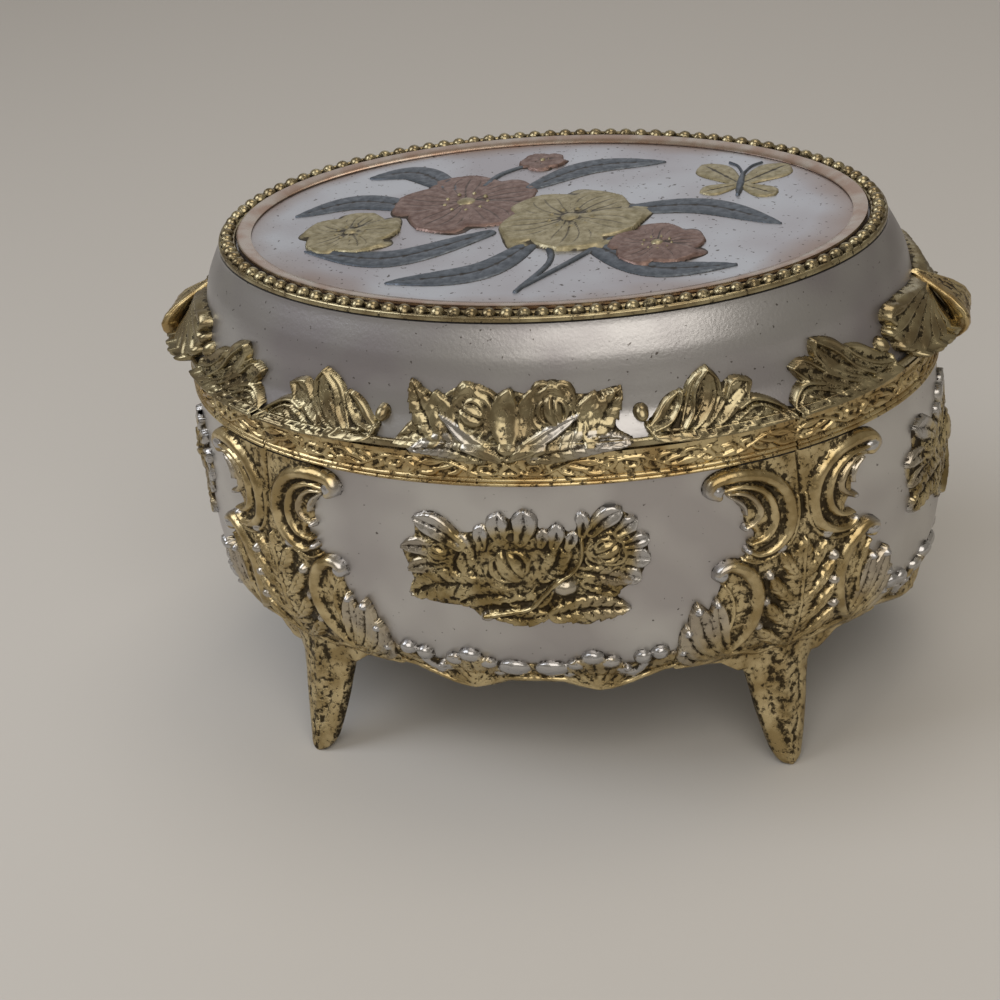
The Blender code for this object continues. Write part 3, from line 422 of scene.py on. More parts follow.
def rose(relief, place, size, lift, turn):
    """An open rose: a dome whose petals end in rolled rims, each a short arc, round an ovoid bud."""
    half_width, half_height = size
    near = relief.near([place], ROSE_MARGIN_SHARE * max(size))
    across = (relief.across[near] - place[0]) / half_width
    up = (relief.up[near] - place[1]) / half_height
    lobe = np.abs(np.cos(ROSE_PETALS / 2 * (np.arctan2(up, across) - turn)))
    ratio = np.hypot(across, up) / (1 - ROSE_LOBE_SHARE + ROSE_LOBE_SHARE * lobe ** 0.5)
    relief.raise_to(near, lift * ROSE_DOME_SHARE * domed(ratio, roundness=3), 0.0)
    for share, start, sweep, foot, width in ROSE_RIM_SHARES:
        arc = []
        for step in np.linspace(0, 1, RIM_POINTS):
            angle = turn + math.tau * (start + sweep * step)
            out = share * (RIM_REACH_SHARE + RIM_BULGE_SHARE * math.sin(math.pi * step))
            arc.append((place[0] + out * half_width * math.cos(angle),
                        place[1] + out * half_height * math.sin(angle)))
        widths = [taper * width * half_width for taper in (RIM_TAPER_SHARE, 1, RIM_TAPER_SHARE)]
        cord(relief, arc, widths, lift * RIM_LIFT_SHARE, base=lift * foot)
    along = across * math.cos(turn) + up * math.sin(turn)
    beside = up * math.cos(turn) - across * math.sin(turn)
    bud = np.hypot(along, BUD_SQUASH_SHARE * beside)
    crease = np.exp(-((along - CREASE_BEND_SHARE * up ** 2 - CREASE_SHIFT_SHARE) / CREASE_WIDTH_SHARE) ** 2)
    level = BUD_FOOT_SHARE + BUD_LIFT_SHARE * domed(bud / BUD_SHARE, BUD_ROUNDNESS)
    level = level - CREASE_DEPTH_SHARE * crease
    relief.raise_to(near, np.where(bud < BUD_SHARE, lift * level, -SINK), 0.0)


def stipple(relief, depth, coarseness=DENT_BLUR):
    """The uneven skin of a casting: random dents, the same in each run."""
    dents = blurred(np.random.default_rng(STIPPLE_SEED).normal(size=relief.level.shape), coarseness)
    dents = dents / np.abs(dents).max()
    relief.level = np.where(relief.level > 0, relief.level + depth * dents, relief.level)


def blurred(values, passes):
    for _ in range(passes):
        padded = np.pad(values, 1, mode="edge")
        beside = padded[:-2, 1:-1] + padded[2:, 1:-1] + padded[1:-1, :-2] + padded[1:-1, 2:]
        values = (beside + padded[1:-1, 1:-1]) / 5
    return values


def silver_tips(relief, low_share, high_share):
    """Silvers what stands out past the body of an ornament, next to the silvered wall."""
    crowd = blurred((relief.level > 0).astype(float), TIP_BLUR)
    tips = np.clip((high_share - crowd) / (high_share - low_share), 0, 1)
    relief.silver = np.maximum(relief.silver, tips)


def hem(relief, depth):
    """Wraps the lower edge of a relief under and up behind, as the thickness of its casting."""
    across, up, level, silver = relief.across[:1], relief.up[:1], relief.level[:1], relief.silver[:1]
    rolls = [(across, up + depth * rise, level + (-depth - level) * share, silver)
             for share, rise in HEM_ROLL_SHARES]
    for field, name in enumerate(("across", "up", "level", "silver")):
        setattr(relief, name, np.vstack([roll[field] for roll in rolls] + [getattr(relief, name)]))


# Meshes

def put_in_scene(name, mesh, material):
    mesh.materials.append(material)
    piece = bpy.data.objects.new(name, mesh)
    bpy.context.scene.collection.objects.link(piece)
    return piece


def mesh_from(name, shape, crease_angle=CREASE_ANGLE):
    """Closes a bmesh into a mesh with its faces outwards, smooth except over its creases."""
    bmesh.ops.recalc_face_normals(shape, faces=shape.faces[:])
    if shape.calc_volume(signed=True) < 0:
        bmesh.ops.reverse_faces(shape, faces=shape.faces[:])
    mesh = bpy.data.meshes.new(name)
    shape.to_mesh(mesh)
    shape.free()
    mesh.shade_smooth()
    mesh.set_sharp_from_angle(angle=crease_angle)
    return mesh


def add_field(mesh, name, values):
    field = mesh.attributes.new(name, "FLOAT", "POINT")
    field.data.foreach_set("value", np.ascontiguousarray(values, dtype=np.float32))


def cast_relief(name, relief, place, material, trim=True, recess_depth=RECESS_DEPTH):
    """A relief bent to its place. What lies under its seat is cut away."""
    level, silver = relief.level, relief.silver
    shown = np.maximum(level, 0)
    # How far each place lies below its neighbourhood: in hollows the gilt is browned and darkened with
    # painted shade, on crests it is kept lighter, and in the inlays the engraved lines hold dark wax
    fine, broad = blurred(shown, FINE_BLUR), blurred(shown, BROAD_BLUR)
    hollow_and_painted_shade = np.clip((0.5 * (fine + broad) - shown) / recess_depth, -1, 1)
    rows, columns = level.shape
    shape = bmesh.new()
    bmesh.ops.create_grid(shape, x_segments=columns - 1, y_segments=rows - 1, size=0.5)
    mesh = bpy.data.meshes.new(name)
    shape.to_mesh(mesh)
    shape.free()
    flat = np.empty(3 * len(mesh.vertices), np.float32)
    mesh.vertices.foreach_get("co", flat)
    flat = flat.reshape(-1, 3)
    column = np.rint((flat[:, 0] + 0.5) * (columns - 1)).astype(int)
    row = np.rint((flat[:, 1] + 0.5) * (rows - 1)).astype(int)
    points = place(relief.across[row, column], relief.up[row, column], level[row, column])
    mesh.vertices.foreach_set("co", np.ascontiguousarray(points, dtype=np.float32).ravel())
    add_field(mesh, "hollow_and_painted_shade", hollow_and_painted_shade[row, column])
    add_field(mesh, "silver", silver[row, column])
    if trim:
        seen = np.pad(level > -KEPT_SHARE * SINK, 1)
        seen = seen[:-2, 1:-1] | seen[2:, 1:-1] | seen[1:-1, :-2] | seen[1:-1, 2:] | seen[1:-1, 1:-1]
        shape = bmesh.new()
        shape.from_mesh(mesh)
        shape.verts.ensure_lookup_table()
        hidden = [shape.verts[i] for i in np.flatnonzero(~seen[row, column])]
        bmesh.ops.delete(shape, geom=hidden, context="VERTS")
        shape.to_mesh(mesh)
        shape.free()
    mesh.shade_smooth()
    return put_in_scene(name, mesh, material)


def swept(name, profile, material, start_angle=0.0, end_angle=math.tau, steps=RING_STEPS):
    """Turns a closed profile of offsets and heights about Z, then stretches it to the oval."""
    shape = bmesh.new()
    corners = [shape.verts.new((BAND_HALF_LENGTH + offset, 0.0, height)) for offset, height in profile]
    edges = [shape.edges.new((corners[i - 1], corners[i])) for i in range(len(corners))]
    sweep = end_angle - start_angle
    is_ring = math.isclose(sweep, math.tau)
    bmesh.ops.spin(shape, geom=corners + edges, cent=(0, 0, 0), axis=(0, 0, 1), angle=sweep,
                   steps=steps, use_merge=is_ring, use_normal_flip=False, use_duplicate=False)
    if not is_ring:
        bmesh.ops.holes_fill(shape, edges=[edge for edge in shape.edges if edge.is_boundary], sides=0)
    for vert in shape.verts:
        turned = math.atan2(vert.co.y, vert.co.x) % math.tau
        if turned > math.tau - sweep / steps / 2:
            turned = 0.0
        offset = math.hypot(vert.co.x, vert.co.y) - BAND_HALF_LENGTH
        vert.co = on_oval(start_angle + turned, offset, vert.co.z)
    return put_in_scene(name, mesh_from(name, shape), material)


# Materials

def linear(hex_colour):
    values = [int(hex_colour[i:i + 2], 16) / 255 for i in (1, 3, 5)]
    return (*(v / 12.92 if v <= 0.04045 else ((v + 0.055) / 1.055) ** 2.4 for v in values), 1.0)


def add_node(tree, kind, settings=None, links=None):
    """Adds a node. Settings are its own or its sockets' values, and links join sockets to its inputs."""
    node = tree.nodes.new("ShaderNode" + kind)
    for key, value in (settings or {}).items():
        if isinstance(key, int) or key in node.inputs:
            node.inputs[key].default_value = value
        else:
            setattr(node, key, value)
    for key, socket in (links or {}).items():
        tree.links.new(socket, node.inputs[key])
    return node


def new_material(name):
    material = bpy.data.materials.new(name)
    material.use_nodes = True
    tree = material.node_tree
    return material, tree, tree.nodes["Principled BSDF"]


def grain(tree, shader, size, strength, depth):
    """The fine skin of a surface: bumps of a real size."""
    place = add_node(tree, "TexCoord").outputs["Object"]
    noise = add_node(tree, "TexNoise", {"Scale": 1 / size, "Detail": 3.0}, {"Vector": place})
    bump = add_node(tree, "Bump", {"Strength": strength, "Distance": depth},
                    {"Height": noise.outputs["Fac"]})
    tree.links.new(bump.outputs["Normal"], shader.inputs["Normal"])


def silvered_metal(name, bright, shade, speck_level, border_colour=None):
    """Silvered white metal, satin as cast, with clouds of faint lilac tarnish and dark pin specks.

    A border colour is where handling has rubbed the silver of the oval plate's rim down to copper.
    """
    material, tree, shader = new_material(name)
    place = add_node(tree, "TexCoord").outputs["Object"]
    cloud = add_node(tree, "TexNoise", {"Scale": 1 / CLOUD_SIZE, "Detail": 2.0}, {"Vector": place})
    tarnish = add_node(tree, "MapRange", {"From Min": 0.38, "From Max": 0.62},
                       {"Value": cloud.outputs["Fac"]})
    body = add_node(tree, "Mix", {"data_type": "RGBA", 6: linear(bright), 7: linear(shade)},
                    {0: tarnish.outputs["Result"]}).outputs[2]
    if border_colour:
        oval = add_node(tree, "Mapping", {"Scale": (1 / PLATE_HALF_LENGTH, 1 / PLATE_HALF_DEPTH, 0)},
                        {"Vector": place})
        reach = add_node(tree, "VectorMath", {"operation": "LENGTH"},
                         {0: oval.outputs["Vector"]}).outputs["Value"]
        ragged = add_node(tree, "Math", {"operation": "MULTIPLY_ADD", 1: 0.3},
                          {0: cloud.outputs["Fac"], 2: reach})
        border = add_node(tree, "MapRange", {"From Min": 1.0, "From Max": 1.13, "To Max": 0.8},
                          {"Value": ragged.outputs[0]})
        body = add_node(tree, "Mix", {"data_type": "RGBA", 7: linear(border_colour)},
                        {0: border.outputs["Result"], 6: body}).outputs[2]
    noise = add_node(tree, "TexNoise", {"Scale": 1 / SPECK_SIZE, "Detail": 2.0}, {"Vector": place})
    specks = add_node(tree, "MapRange", {"From Min": speck_level, "From Max": speck_level + SPECK_BLEND,
                                         "To Max": 0.85}, {"Value": noise.outputs["Fac"]})
    colour = add_node(tree, "Mix", {"data_type": "RGBA", 7: linear("#4B453F")},
                      {0: specks.outputs["Result"], 6: body})
    tree.links.new(colour.outputs[2], shader.inputs["Base Color"])
    rough = add_node(tree, "MapRange", {"To Min": 0.34, "To Max": 0.43},
                     {"Value": tarnish.outputs["Result"]})
    tree.links.new(rough.outputs["Result"], shader.inputs["Roughness"])
    shader.inputs["Metallic"].default_value = 0.9
    grain(tree, shader, CAST_GRAIN, strength=0.3, depth=CAST_GRAIN_DEPTH)
    return material


def worn_gilt(name, bright, deep, dark, spot_level, spot_size=SPOT_SIZE):
    """Gilt white metal, pitted with dark spots, browned in its hollows and given painted shade there, with
    silver showing at its outer tips.

    The attribute hollow_and_painted_shade is how far a place lies in a hollow, and on the feet, tongues and
    beads the painted shade set there; silver is how far its gilding has gone.
    """
    material, tree, shader = new_material(name)
    place = add_node(tree, "TexCoord").outputs["Object"]
    hollow_and_painted_shade = add_node(tree, "Attribute", {"attribute_name": "hollow_and_painted_shade"}).outputs["Fac"]
    silver = add_node(tree, "Attribute", {"attribute_name": "silver"}).outputs["Fac"]
    cloud = add_node(tree, "TexNoise", {"Scale": 1 / (SPOTS_PER_CLOUD * spot_size), "Detail": 3.0},
                     {"Vector": place})
    tone = add_node(tree, "MapRange", {"From Min": 0.38, "From Max": 0.6}, {"Value": cloud.outputs["Fac"]})
    gold = add_node(tree, "Mix", {"data_type": "RGBA", 6: linear(bright), 7: linear(deep)},
                    {0: tone.outputs["Result"]})
    metal = add_node(tree, "Mix", {"data_type": "RGBA", 7: linear("#B9B8B8")},
                     {0: silver, 6: gold.outputs[2]})
    noise = add_node(tree, "TexNoise", {"Scale": 1 / spot_size, "Detail": 4.0, "Roughness": 0.7},
                     {"Vector": place})
    # Dark spots gather where hollow_and_painted_shade is high: browning and painted shade in hollows,
    # painted shade alone on the feet, tongues and beads
    hollow = add_node(tree, "Math", {"operation": "MULTIPLY_ADD", 1: HOLLOW_AND_SHADE_SHARE},
                      {0: hollow_and_painted_shade, 2: noise.outputs["Fac"]})
    kept = add_node(tree, "Math", {"operation": "MULTIPLY_ADD", 1: -SILVER_SHARE},
                    {0: silver, 2: hollow.outputs[0]})
    worn = add_node(tree, "MapRange", {"From Min": spot_level, "From Max": spot_level + SPOT_BLEND,
                                       "To Max": 0.93}, {"Value": kept.outputs[0]}).outputs["Result"]
    colour = add_node(tree, "Mix", {"data_type": "RGBA", 7: linear(dark)}, {0: worn, 6: metal.outputs[2]})
    tree.links.new(colour.outputs[2], shader.inputs["Base Color"])
    rough = add_node(tree, "MapRange", {"To Min": 0.25, "To Max": 0.5}, {"Value": worn})
    tree.links.new(rough.outputs["Result"], shader.inputs["Roughness"])
    shader.inputs["Metallic"].default_value = 0.92
    pitted = add_node(tree, "MapRange", {"To Min": 1.0, "To Max": 0.0}, {"Value": worn})
    bump = add_node(tree, "Bump", {"Strength": 0.55, "Distance": PIT_DEPTH},
                    {"Height": pitted.outputs["Result"]})
    tree.links.new(bump.outputs["Normal"], shader.inputs["Normal"])
    return material


def engraved_inlay(name, colour, shade):
    """Tinted lacquer over silvered metal, satin, with engraved lines that hold dark wax."""
    material, tree, shader = new_material(name)
    place = add_node(tree, "TexCoord").outputs["Object"]
    hollow_and_painted_shade = add_node(tree, "Attribute", {"attribute_name": "hollow_and_painted_shade"}).outputs["Fac"]
    noise = add_node(tree, "TexNoise", {"Scale": 1 / INLAY_GRAIN, "Detail": 4.0, "Roughness": 0.65},
                     {"Vector": place})
    tone = add_node(tree, "MapRange", {"From Min": 0.35, "From Max": 0.65}, {"Value": noise.outputs["Fac"]})
    body = add_node(tree, "Mix", {"data_type": "RGBA", 6: linear(colour), 7: linear(shade)},
                    {0: tone.outputs["Result"]})
    line = add_node(tree, "MapRange", {"From Min": 0.2, "From Max": 0.7, "To Max": 0.9}, {"Value": hollow_and_painted_shade})
    tint = add_node(tree, "Mix", {"data_type": "RGBA", 7: linear("#35302B")},
                    {0: line.outputs["Result"], 6: body.outputs[2]})
    tree.links.new(tint.outputs[2], shader.inputs["Base Color"])
    rough = add_node(tree, "MapRange", {"To Min": 0.36, "To Max": 0.5}, {"Value": tone.outputs["Result"]})
    tree.links.new(rough.outputs["Result"], shader.inputs["Roughness"])
    shader.inputs["Metallic"].default_value = 0.7
    return material


def velvet_cloth(name):
    """Crimson cotton velvet: a short pile, darker where it is pressed and bright at grazing angles."""
    material, tree, shader = new_material(name)
    place = add_node(tree, "TexCoord").outputs["Object"]
    cloud = add_node(tree, "TexNoise", {"Scale": 1 / PRESSED_SIZE, "Detail": 3.0}, {"Vector": place})
    pressed = add_node(tree, "MapRange", {"From Min": 0.35, "From Max": 0.65},
                       {"Value": cloud.outputs["Fac"]})
    body = add_node(tree, "Mix", {"data_type": "RGBA", 6: linear("#7A1420"), 7: linear("#5A0D18")},
                    {0: pressed.outputs["Result"]})
    tufts = add_node(tree, "TexNoise", {"Scale": 1 / PILE_SIZE, "Detail": 2.0}, {"Vector": place})
    pile = add_node(tree, "MapRange", {"From Min": 0.3, "From Max": 0.7}, {"Value": tufts.outputs["Fac"]})
    colour = add_node(tree, "Mix", {"data_type": "RGBA", 7: linear("#8E1F2B")},
                      {0: pile.outputs["Result"], 6: body.outputs[2]})
    tree.links.new(colour.outputs[2], shader.inputs["Base Color"])
    shader.inputs["Roughness"].default_value = 0.9
    shader.inputs["Sheen Weight"].default_value = 0.7
    shader.inputs["Sheen Roughness"].default_value = 0.4
    shader.inputs["Sheen Tint"].default_value = linear("#D9707A")
    grain(tree, shader, PILE_SIZE, strength=0.6, depth=PILE_DEPTH)
    return material


def plain_steel(name):
    """Bright drawn steel of the pin and the bottom plate, with a light overall grain."""
    material, tree, shader = new_material(name)
    place = add_node(tree, "TexCoord").outputs["Object"]
    cloud = add_node(tree, "TexNoise", {"Scale": 1 / STEEL_CLOUD_SIZE, "Detail": 4.0},
                     {"Vector": place}).outputs["Fac"]
    colour = add_node(tree, "Mix", {"data_type": "RGBA", 6: linear("#A9A5A0"), 7: linear("#857F78")},
                      {0: cloud})
    tree.links.new(colour.outputs[2], shader.inputs["Base Color"])
    rough = add_node(tree, "MapRange", {"To Min": 0.33, "To Max": 0.52}, {"Value": cloud})
    tree.links.new(rough.outputs["Result"], shader.inputs["Roughness"])
    shader.inputs["Metallic"].default_value = 1.0
    grain(tree, shader, STEEL_GRAIN, strength=0.15, depth=STEEL_GRAIN_DEPTH)
    return material


silver_wall = silvered_metal("silvered_wall", "#CAC8C5", "#B4B0AF", speck_level=0.72)
silver_lid = silvered_metal("silvered_lid", "#B2B1B1", "#9B979A", speck_level=0.70)
silver_plate = silvered_metal("silvered_plate", "#C3C6CC", "#B4B2B8", speck_level=0.66,
                              border_colour="#9F8B7F")
gilt = worn_gilt("worn_gilt_body", "#CDBB90", "#A08C62", "#2F271C", spot_level=0.535)
gilt_spray = worn_gilt("worn_gilt_rose_spray", "#BFAF86", "#8F7C52", "#2C241B", spot_level=0.50,
                       spot_size=0.0012)
gilt_lid = worn_gilt("worn_gilt_lid", "#ABA07F", "#85775A", "#2C261C", spot_level=0.575)
gilt_band = worn_gilt("worn_gilt_band", "#CDBB8E", "#AA9163", "#33291C", spot_level=0.55,
                      spot_size=0.0013)
copper_gilt = worn_gilt("copper_gilt_bezel", "#B9ADA1", "#A89080", "#4A3A2C", spot_level=0.74)
slate_inlay = engraved_inlay("slate_lacquer_inlay", "#656D77", "#4C535C")
rose_inlay = engraved_inlay("copper_rose_lacquer_inlay", "#8C766E", "#6C5751")
gold_inlay = engraved_inlay("gold_lacquer_inlay", "#ABA285", "#857D61")
velvet = velvet_cloth("crimson_velvet")
steel = plain_steel("drawn_steel")


def dress(piece, body, slot, *nodes):
    """Lets a piece move with its body and stand for its node."""
    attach(piece, body)
    if nodes:
        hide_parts(*nodes)


# Body

def section_spans():
    half_gap = SEAT_GAP / 2 / BAND_HALF_DEPTH
    for side, middle in SIDES.items():
        half = (math.pi / 2 - SEAM_ANGLE if side in ("front", "back") else SEAM_ANGLE) - half_gap
        yield side, middle - half, middle + half


def make_walls():
    heights = np.linspace(WALL_TOP + SOLDER_SHARE * SEAT_GAP, WALL_FOOT, SECTION_POINTS)
    outer = [(float(wall_offset(height)), height) for height in heights]
    inner = [(offset - WALL_THICKNESS, height) for offset, height in outer if height > LEDGE_TOP]
    inner.append((float(wall_offset(LEDGE_TOP)) - WALL_THICKNESS, LEDGE_TOP))
    ledge = outer[-1][0] - WALL_THICKNESS - WALL_LEDGE_WIDTH
    profile = outer + [(ledge, WALL_FOOT), (ledge, LEDGE_TOP)] + inner[::-1]
    for side, start, end in section_spans():
        wall = swept(side + "_wall_casting", profile, silver_wall, start, end, SECTION_STEPS)
        dress(wall, "body", "silvered", side + "_wall")


# Running foliage of the band: one unit, as shares of its length and of the face's height
BAND_STEM_SHARES = ((0.0, 0.35), (0.14, 0.75), (0.34, 0.8), (0.5, 0.5), (0.66, 0.2), (0.86, 0.2),
    (1.0, 0.5))
BAND_CURL_SHARES = ((0.2, 0.78), (0.32, 0.62), (0.3, 0.35), (0.2, 0.36), (0.2, 0.5))
BAND_LEAF_SHARES = (((0.5, 0.5), (0.56, 0.75), (0.68, 0.88)), ((0.58, 0.35), (0.7, 0.55), (0.84, 0.62)),
                    ((0.7, 0.2), (0.84, 0.36), (0.98, 0.3)), ((0.42, 0.62), (0.4, 0.32), (0.5, 0.12)),
                    ((0.12, 0.7), (0.04, 0.82), (-0.04, 0.7)), ((0.1, 0.6), (0.04, 0.3), (0.1, 0.1)),
                    ((0.74, 0.6), (0.84, 0.86), (0.98, 0.86)))
BAND_STEM_WIDTH_SHARES = (0.09, 0.07)
BAND_CURL_WIDTH_SHARES = (0.08, 0.1)
BAND_LEAF_WIDTH_SHARE = 0.13
BAND_LEAF_LIFT_SHARE = 0.9
BAND_GROUND = 0.00002
REED_POINT_SHARES = np.linspace(0, 0.98, 8)


def make_rim_bands():
    """The reeds and fillet of the band, with running foliage carved between them."""
    inner = -WALL_TOP_INSET - WALL_THICKNESS
    reeds = []
    for reed in range(REED_COUNT):
        foot = BAND_FOOT + reed * REED_HEIGHT
        reeds += [(-REED_PROUD + REED_PROUD * math.sin(math.pi * share), foot + REED_HEIGHT * share)
                  for share in REED_POINT_SHARES]
    face_foot = BAND_FOOT + REED_COUNT * REED_HEIGHT
    face_top = BAND_TOP - BAND_FILLET_HEIGHT
    profile = [(inner, BAND_FOOT)] + reeds + [(-REED_PROUD, face_foot), (-BAND_FACE_INSET, face_foot),
                                              (-BAND_FACE_INSET, face_top), (-BAND_FILLET_INSET, face_top),
                                              (-BAND_FILLET_INSET, BAND_TOP), (inner, BAND_TOP)]
    for side, start, end in section_spans():
        band = swept(side + "_band_rails", profile, gilt_band, start, end, SECTION_STEPS)
        dress(band, "body", "gilt", side + "_rim_band")
        half = SEAM_TO_FRONT if side in ("front", "back") else SEAM_TO_END
        relief = Relief(-half, half, face_foot, face_top, FINE_CELL)
        tall = face_top - face_foot
        count = round(half / BAND_UNIT_LENGTH)
        unit = half / count
        for i in range(count):
            for hand in (-1, 1):
                def spots(shares):
                    return [(hand * (i + x) * unit, face_foot + (y if i % 2 else 1 - y) * tall)
                            for x, y in shares]

                for line, widths in ((BAND_STEM_SHARES, BAND_STEM_WIDTH_SHARES),
                                     (BAND_CURL_SHARES, BAND_CURL_WIDTH_SHARES)):
                    cord(relief, spots(line), [tall * width for width in widths], BAND_CARVING_HEIGHT)
                for shares in BAND_LEAF_SHARES:
                    leaf(relief, spots(shares), tall * BAND_LEAF_WIDTH_SHARE,
                         BAND_CARVING_HEIGHT * BAND_LEAF_LIFT_SHARE, dish=-0.2)
        relief.level = np.maximum(relief.level, BAND_GROUND)
        middle = (start + end) / 2
        carving = cast_relief(side + "_band_foliage", relief,
                              seat_place(middle, lambda up: -BAND_FACE_INSET), gilt_band, trim=False)
        dress(carving, "body", "gilt", side + "_rim_band")


# Rose spray: its outline
SPRAY_OUTLINE = ((-18.3, 54.6), (-15.6, 55.4), (-10.3, 52.6), (-5.4, 54.0), (-2.9, 56.0), (-0.6, 55.6),
    (1.3, 56.8), (4.6, 53.5), (6.9, 54.4), (9.9, 52.8), (11.2, 56.3), (12.6, 55.2), (18.0, 56.4),
    (20.3, 54.4), (20.8, 51.6), (22.2, 50.4), (22.2, 47.2), (20.6, 43.4), (16.6, 40.2), (18.2, 37.6),
    (14.0, 35.9), (10.7, 34.2), (5.8, 36.0), (3.6, 36.7), (-0.3, 34.8), (-4.0, 35.6), (-7.1, 35.2),
    (-10.0, 37.6), (-15.8, 38.0), (-20.2, 39.6), (-19.6, 41.8), (-20.2, 44.7), (-21.2, 48.8), (-18.8, 50.4))
# Its leaves: midrib from foot to tip, half width, lift share, teeth, veins, ribs, silver share
SPRAY_LEAVES = (
    (((-10.2, 50.6), (-14.0, 53.4), (-18.2, 55.2)), 2.3, 0.9, 0, 0, 2, 0.8),
    (((-12.4, 47.4), (-17.0, 49.4), (-21.3, 49.0)), 1.7, 0.75, 0, 0, 2, 0.5),
    (((-12.6, 45.6), (-16.8, 45.8), (-20.4, 44.4)), 1.6, 0.7, 0, 0, 2, 0.3),
    (((-9.0, 42.6), (-15.0, 42.0), (-20.6, 39.4)), 3.5, 0.85, 6, 6, 0, 0.0),
    (((-8.2, 49.0), (-9.4, 50.8), (-10.0, 52.6)), 1.3, 0.7, 0, 0, 2, 0.6),
    (((-6.0, 50.4), (-6.3, 52.6), (-5.7, 54.4)), 1.4, 0.75, 0, 0, 2, 0.9),
    (((-2.6, 51.8), (-3.2, 54.2), (-2.7, 56.8)), 2.0, 0.85, 0, 0, 2, 0.9),
    (((0.9, 52.0), (1.6, 54.6), (1.5, 57.5)), 2.3, 0.9, 0, 0, 2, 0.9),
    (((4.2, 50.8), (4.6, 52.4), (4.4, 53.8)), 1.2, 0.6, 0, 0, 2, 0.6),
    (((6.4, 50.6), (7.0, 52.8), (7.0, 54.8)), 1.5, 0.8, 0, 0, 2, 0.9),
    (((8.8, 50.2), (9.6, 51.8), (9.9, 53.2)), 1.2, 0.7, 0, 0, 2, 0.8),
    (((11.4, 52.8), (11.7, 54.8), (11.2, 56.9)), 1.3, 0.85, 0, 0, 2, 0.9),
    (((13.0, 53.2), (15.4, 55.4), (18.6, 56.9)), 1.9, 0.95, 0, 0, 2, 0.9),
    (((17.4, 52.6), (19.2, 53.8), (20.8, 55.0)), 1.6, 0.85, 0, 0, 2, 0.9),
    (((18.6, 50.2), (20.6, 50.6), (22.8, 51.1)), 1.5, 0.85, 0, 0, 2, 0.9),
    (((18.2, 47.6), (20.6, 47.2), (22.8, 46.8)), 2.0, 0.6, 0, 0, 2, 0.9),
    (((16.8, 45.2), (19.0, 43.8), (21.0, 43.0)), 1.8, 0.6, 0, 0, 2, 0.8),
    (((10.2, 45.6), (14.6, 44.4), (19.4, 42.6)), 2.0, 0.7, 6, 6, 0, 0.2),
    (((11.2, 43.0), (14.2, 41.8), (17.0, 40.3)), 1.7, 0.65, 6, 5, 0, 0.0),
    (((6.0, 36.8), (12.0, 37.9), (18.8, 37.4)), 3.0, 0.85, 7, 7, 0, 0.15),
    (((-4.4, 36.4), (0.4, 35.9), (5.2, 36.9)), 1.9, 0.6, 4, 5, 0, 0.0),
    (((-4.6, 37.2), (-6.4, 36.3), (-7.4, 35.2)), 1.1, 0.6, 0, 0, 0, 0.6),
    (((-2.0, 40.6), (-7.0, 40.4), (-11.6, 38.4)), 2.4, 0.7, 6, 7, 0, 0.0),
    (((-1.4, 39.2), (2.8, 39.8), (5.8, 42.8)), 1.7, 0.6, 0, 6, 0, 0.0),
    (((4.2, 44.6), (6.4, 47.0), (7.4, 50.4)), 2.3, 0.7, 0, 6, 0, 0.0),
    (((8.2, 45.4), (9.4, 48.4), (9.6, 51.4)), 1.5, 0.65, 0, 5, 0, 0.0),
    (((-6.8, 44.0), (-9.0, 46.4), (-9.4, 49.6)), 2.0, 0.7, 0, 6, 0, 0.0),
)
# Its roses: middle, half width and half height, lift share, turn
SPRAY_ROSES = (((-1.4, 46.9), (6.4, 6.9), 1.0, 0.5), ((15.4, 49.6), (4.6, 4.4), 0.9, 2.0),
               ((-14.2, 48.6), (3.7, 3.6), 0.8, 1.2))
SPRAY_STEM = ((-6.7, 36.5), (-2.9, 37.3), (1.4, 38.4), (4.0, 41.0), (6.2, 43.4), (9.2, 45.6), (10.9, 48.3),
              (11.2, 51.9))
SPRAY_STEM_WIDTHS = (0.55, 0.5, 0.35)
SPRAY_STEM_LIFT_SHARE = 0.95
SPRAY_BUD = (7.6, 42.4)
SPRAY_BUD_RADIUS = 1.7
SPRAY_BUD_LIFT_SHARE = 1.05
SPRAY_HEIGHT_SHARE = 0.53
SPRAY_GROUND_SHARE = 0.2
SPRAY_EDGE = 0.7 * MM
SPRAY_DENTS = 0.2 * MM


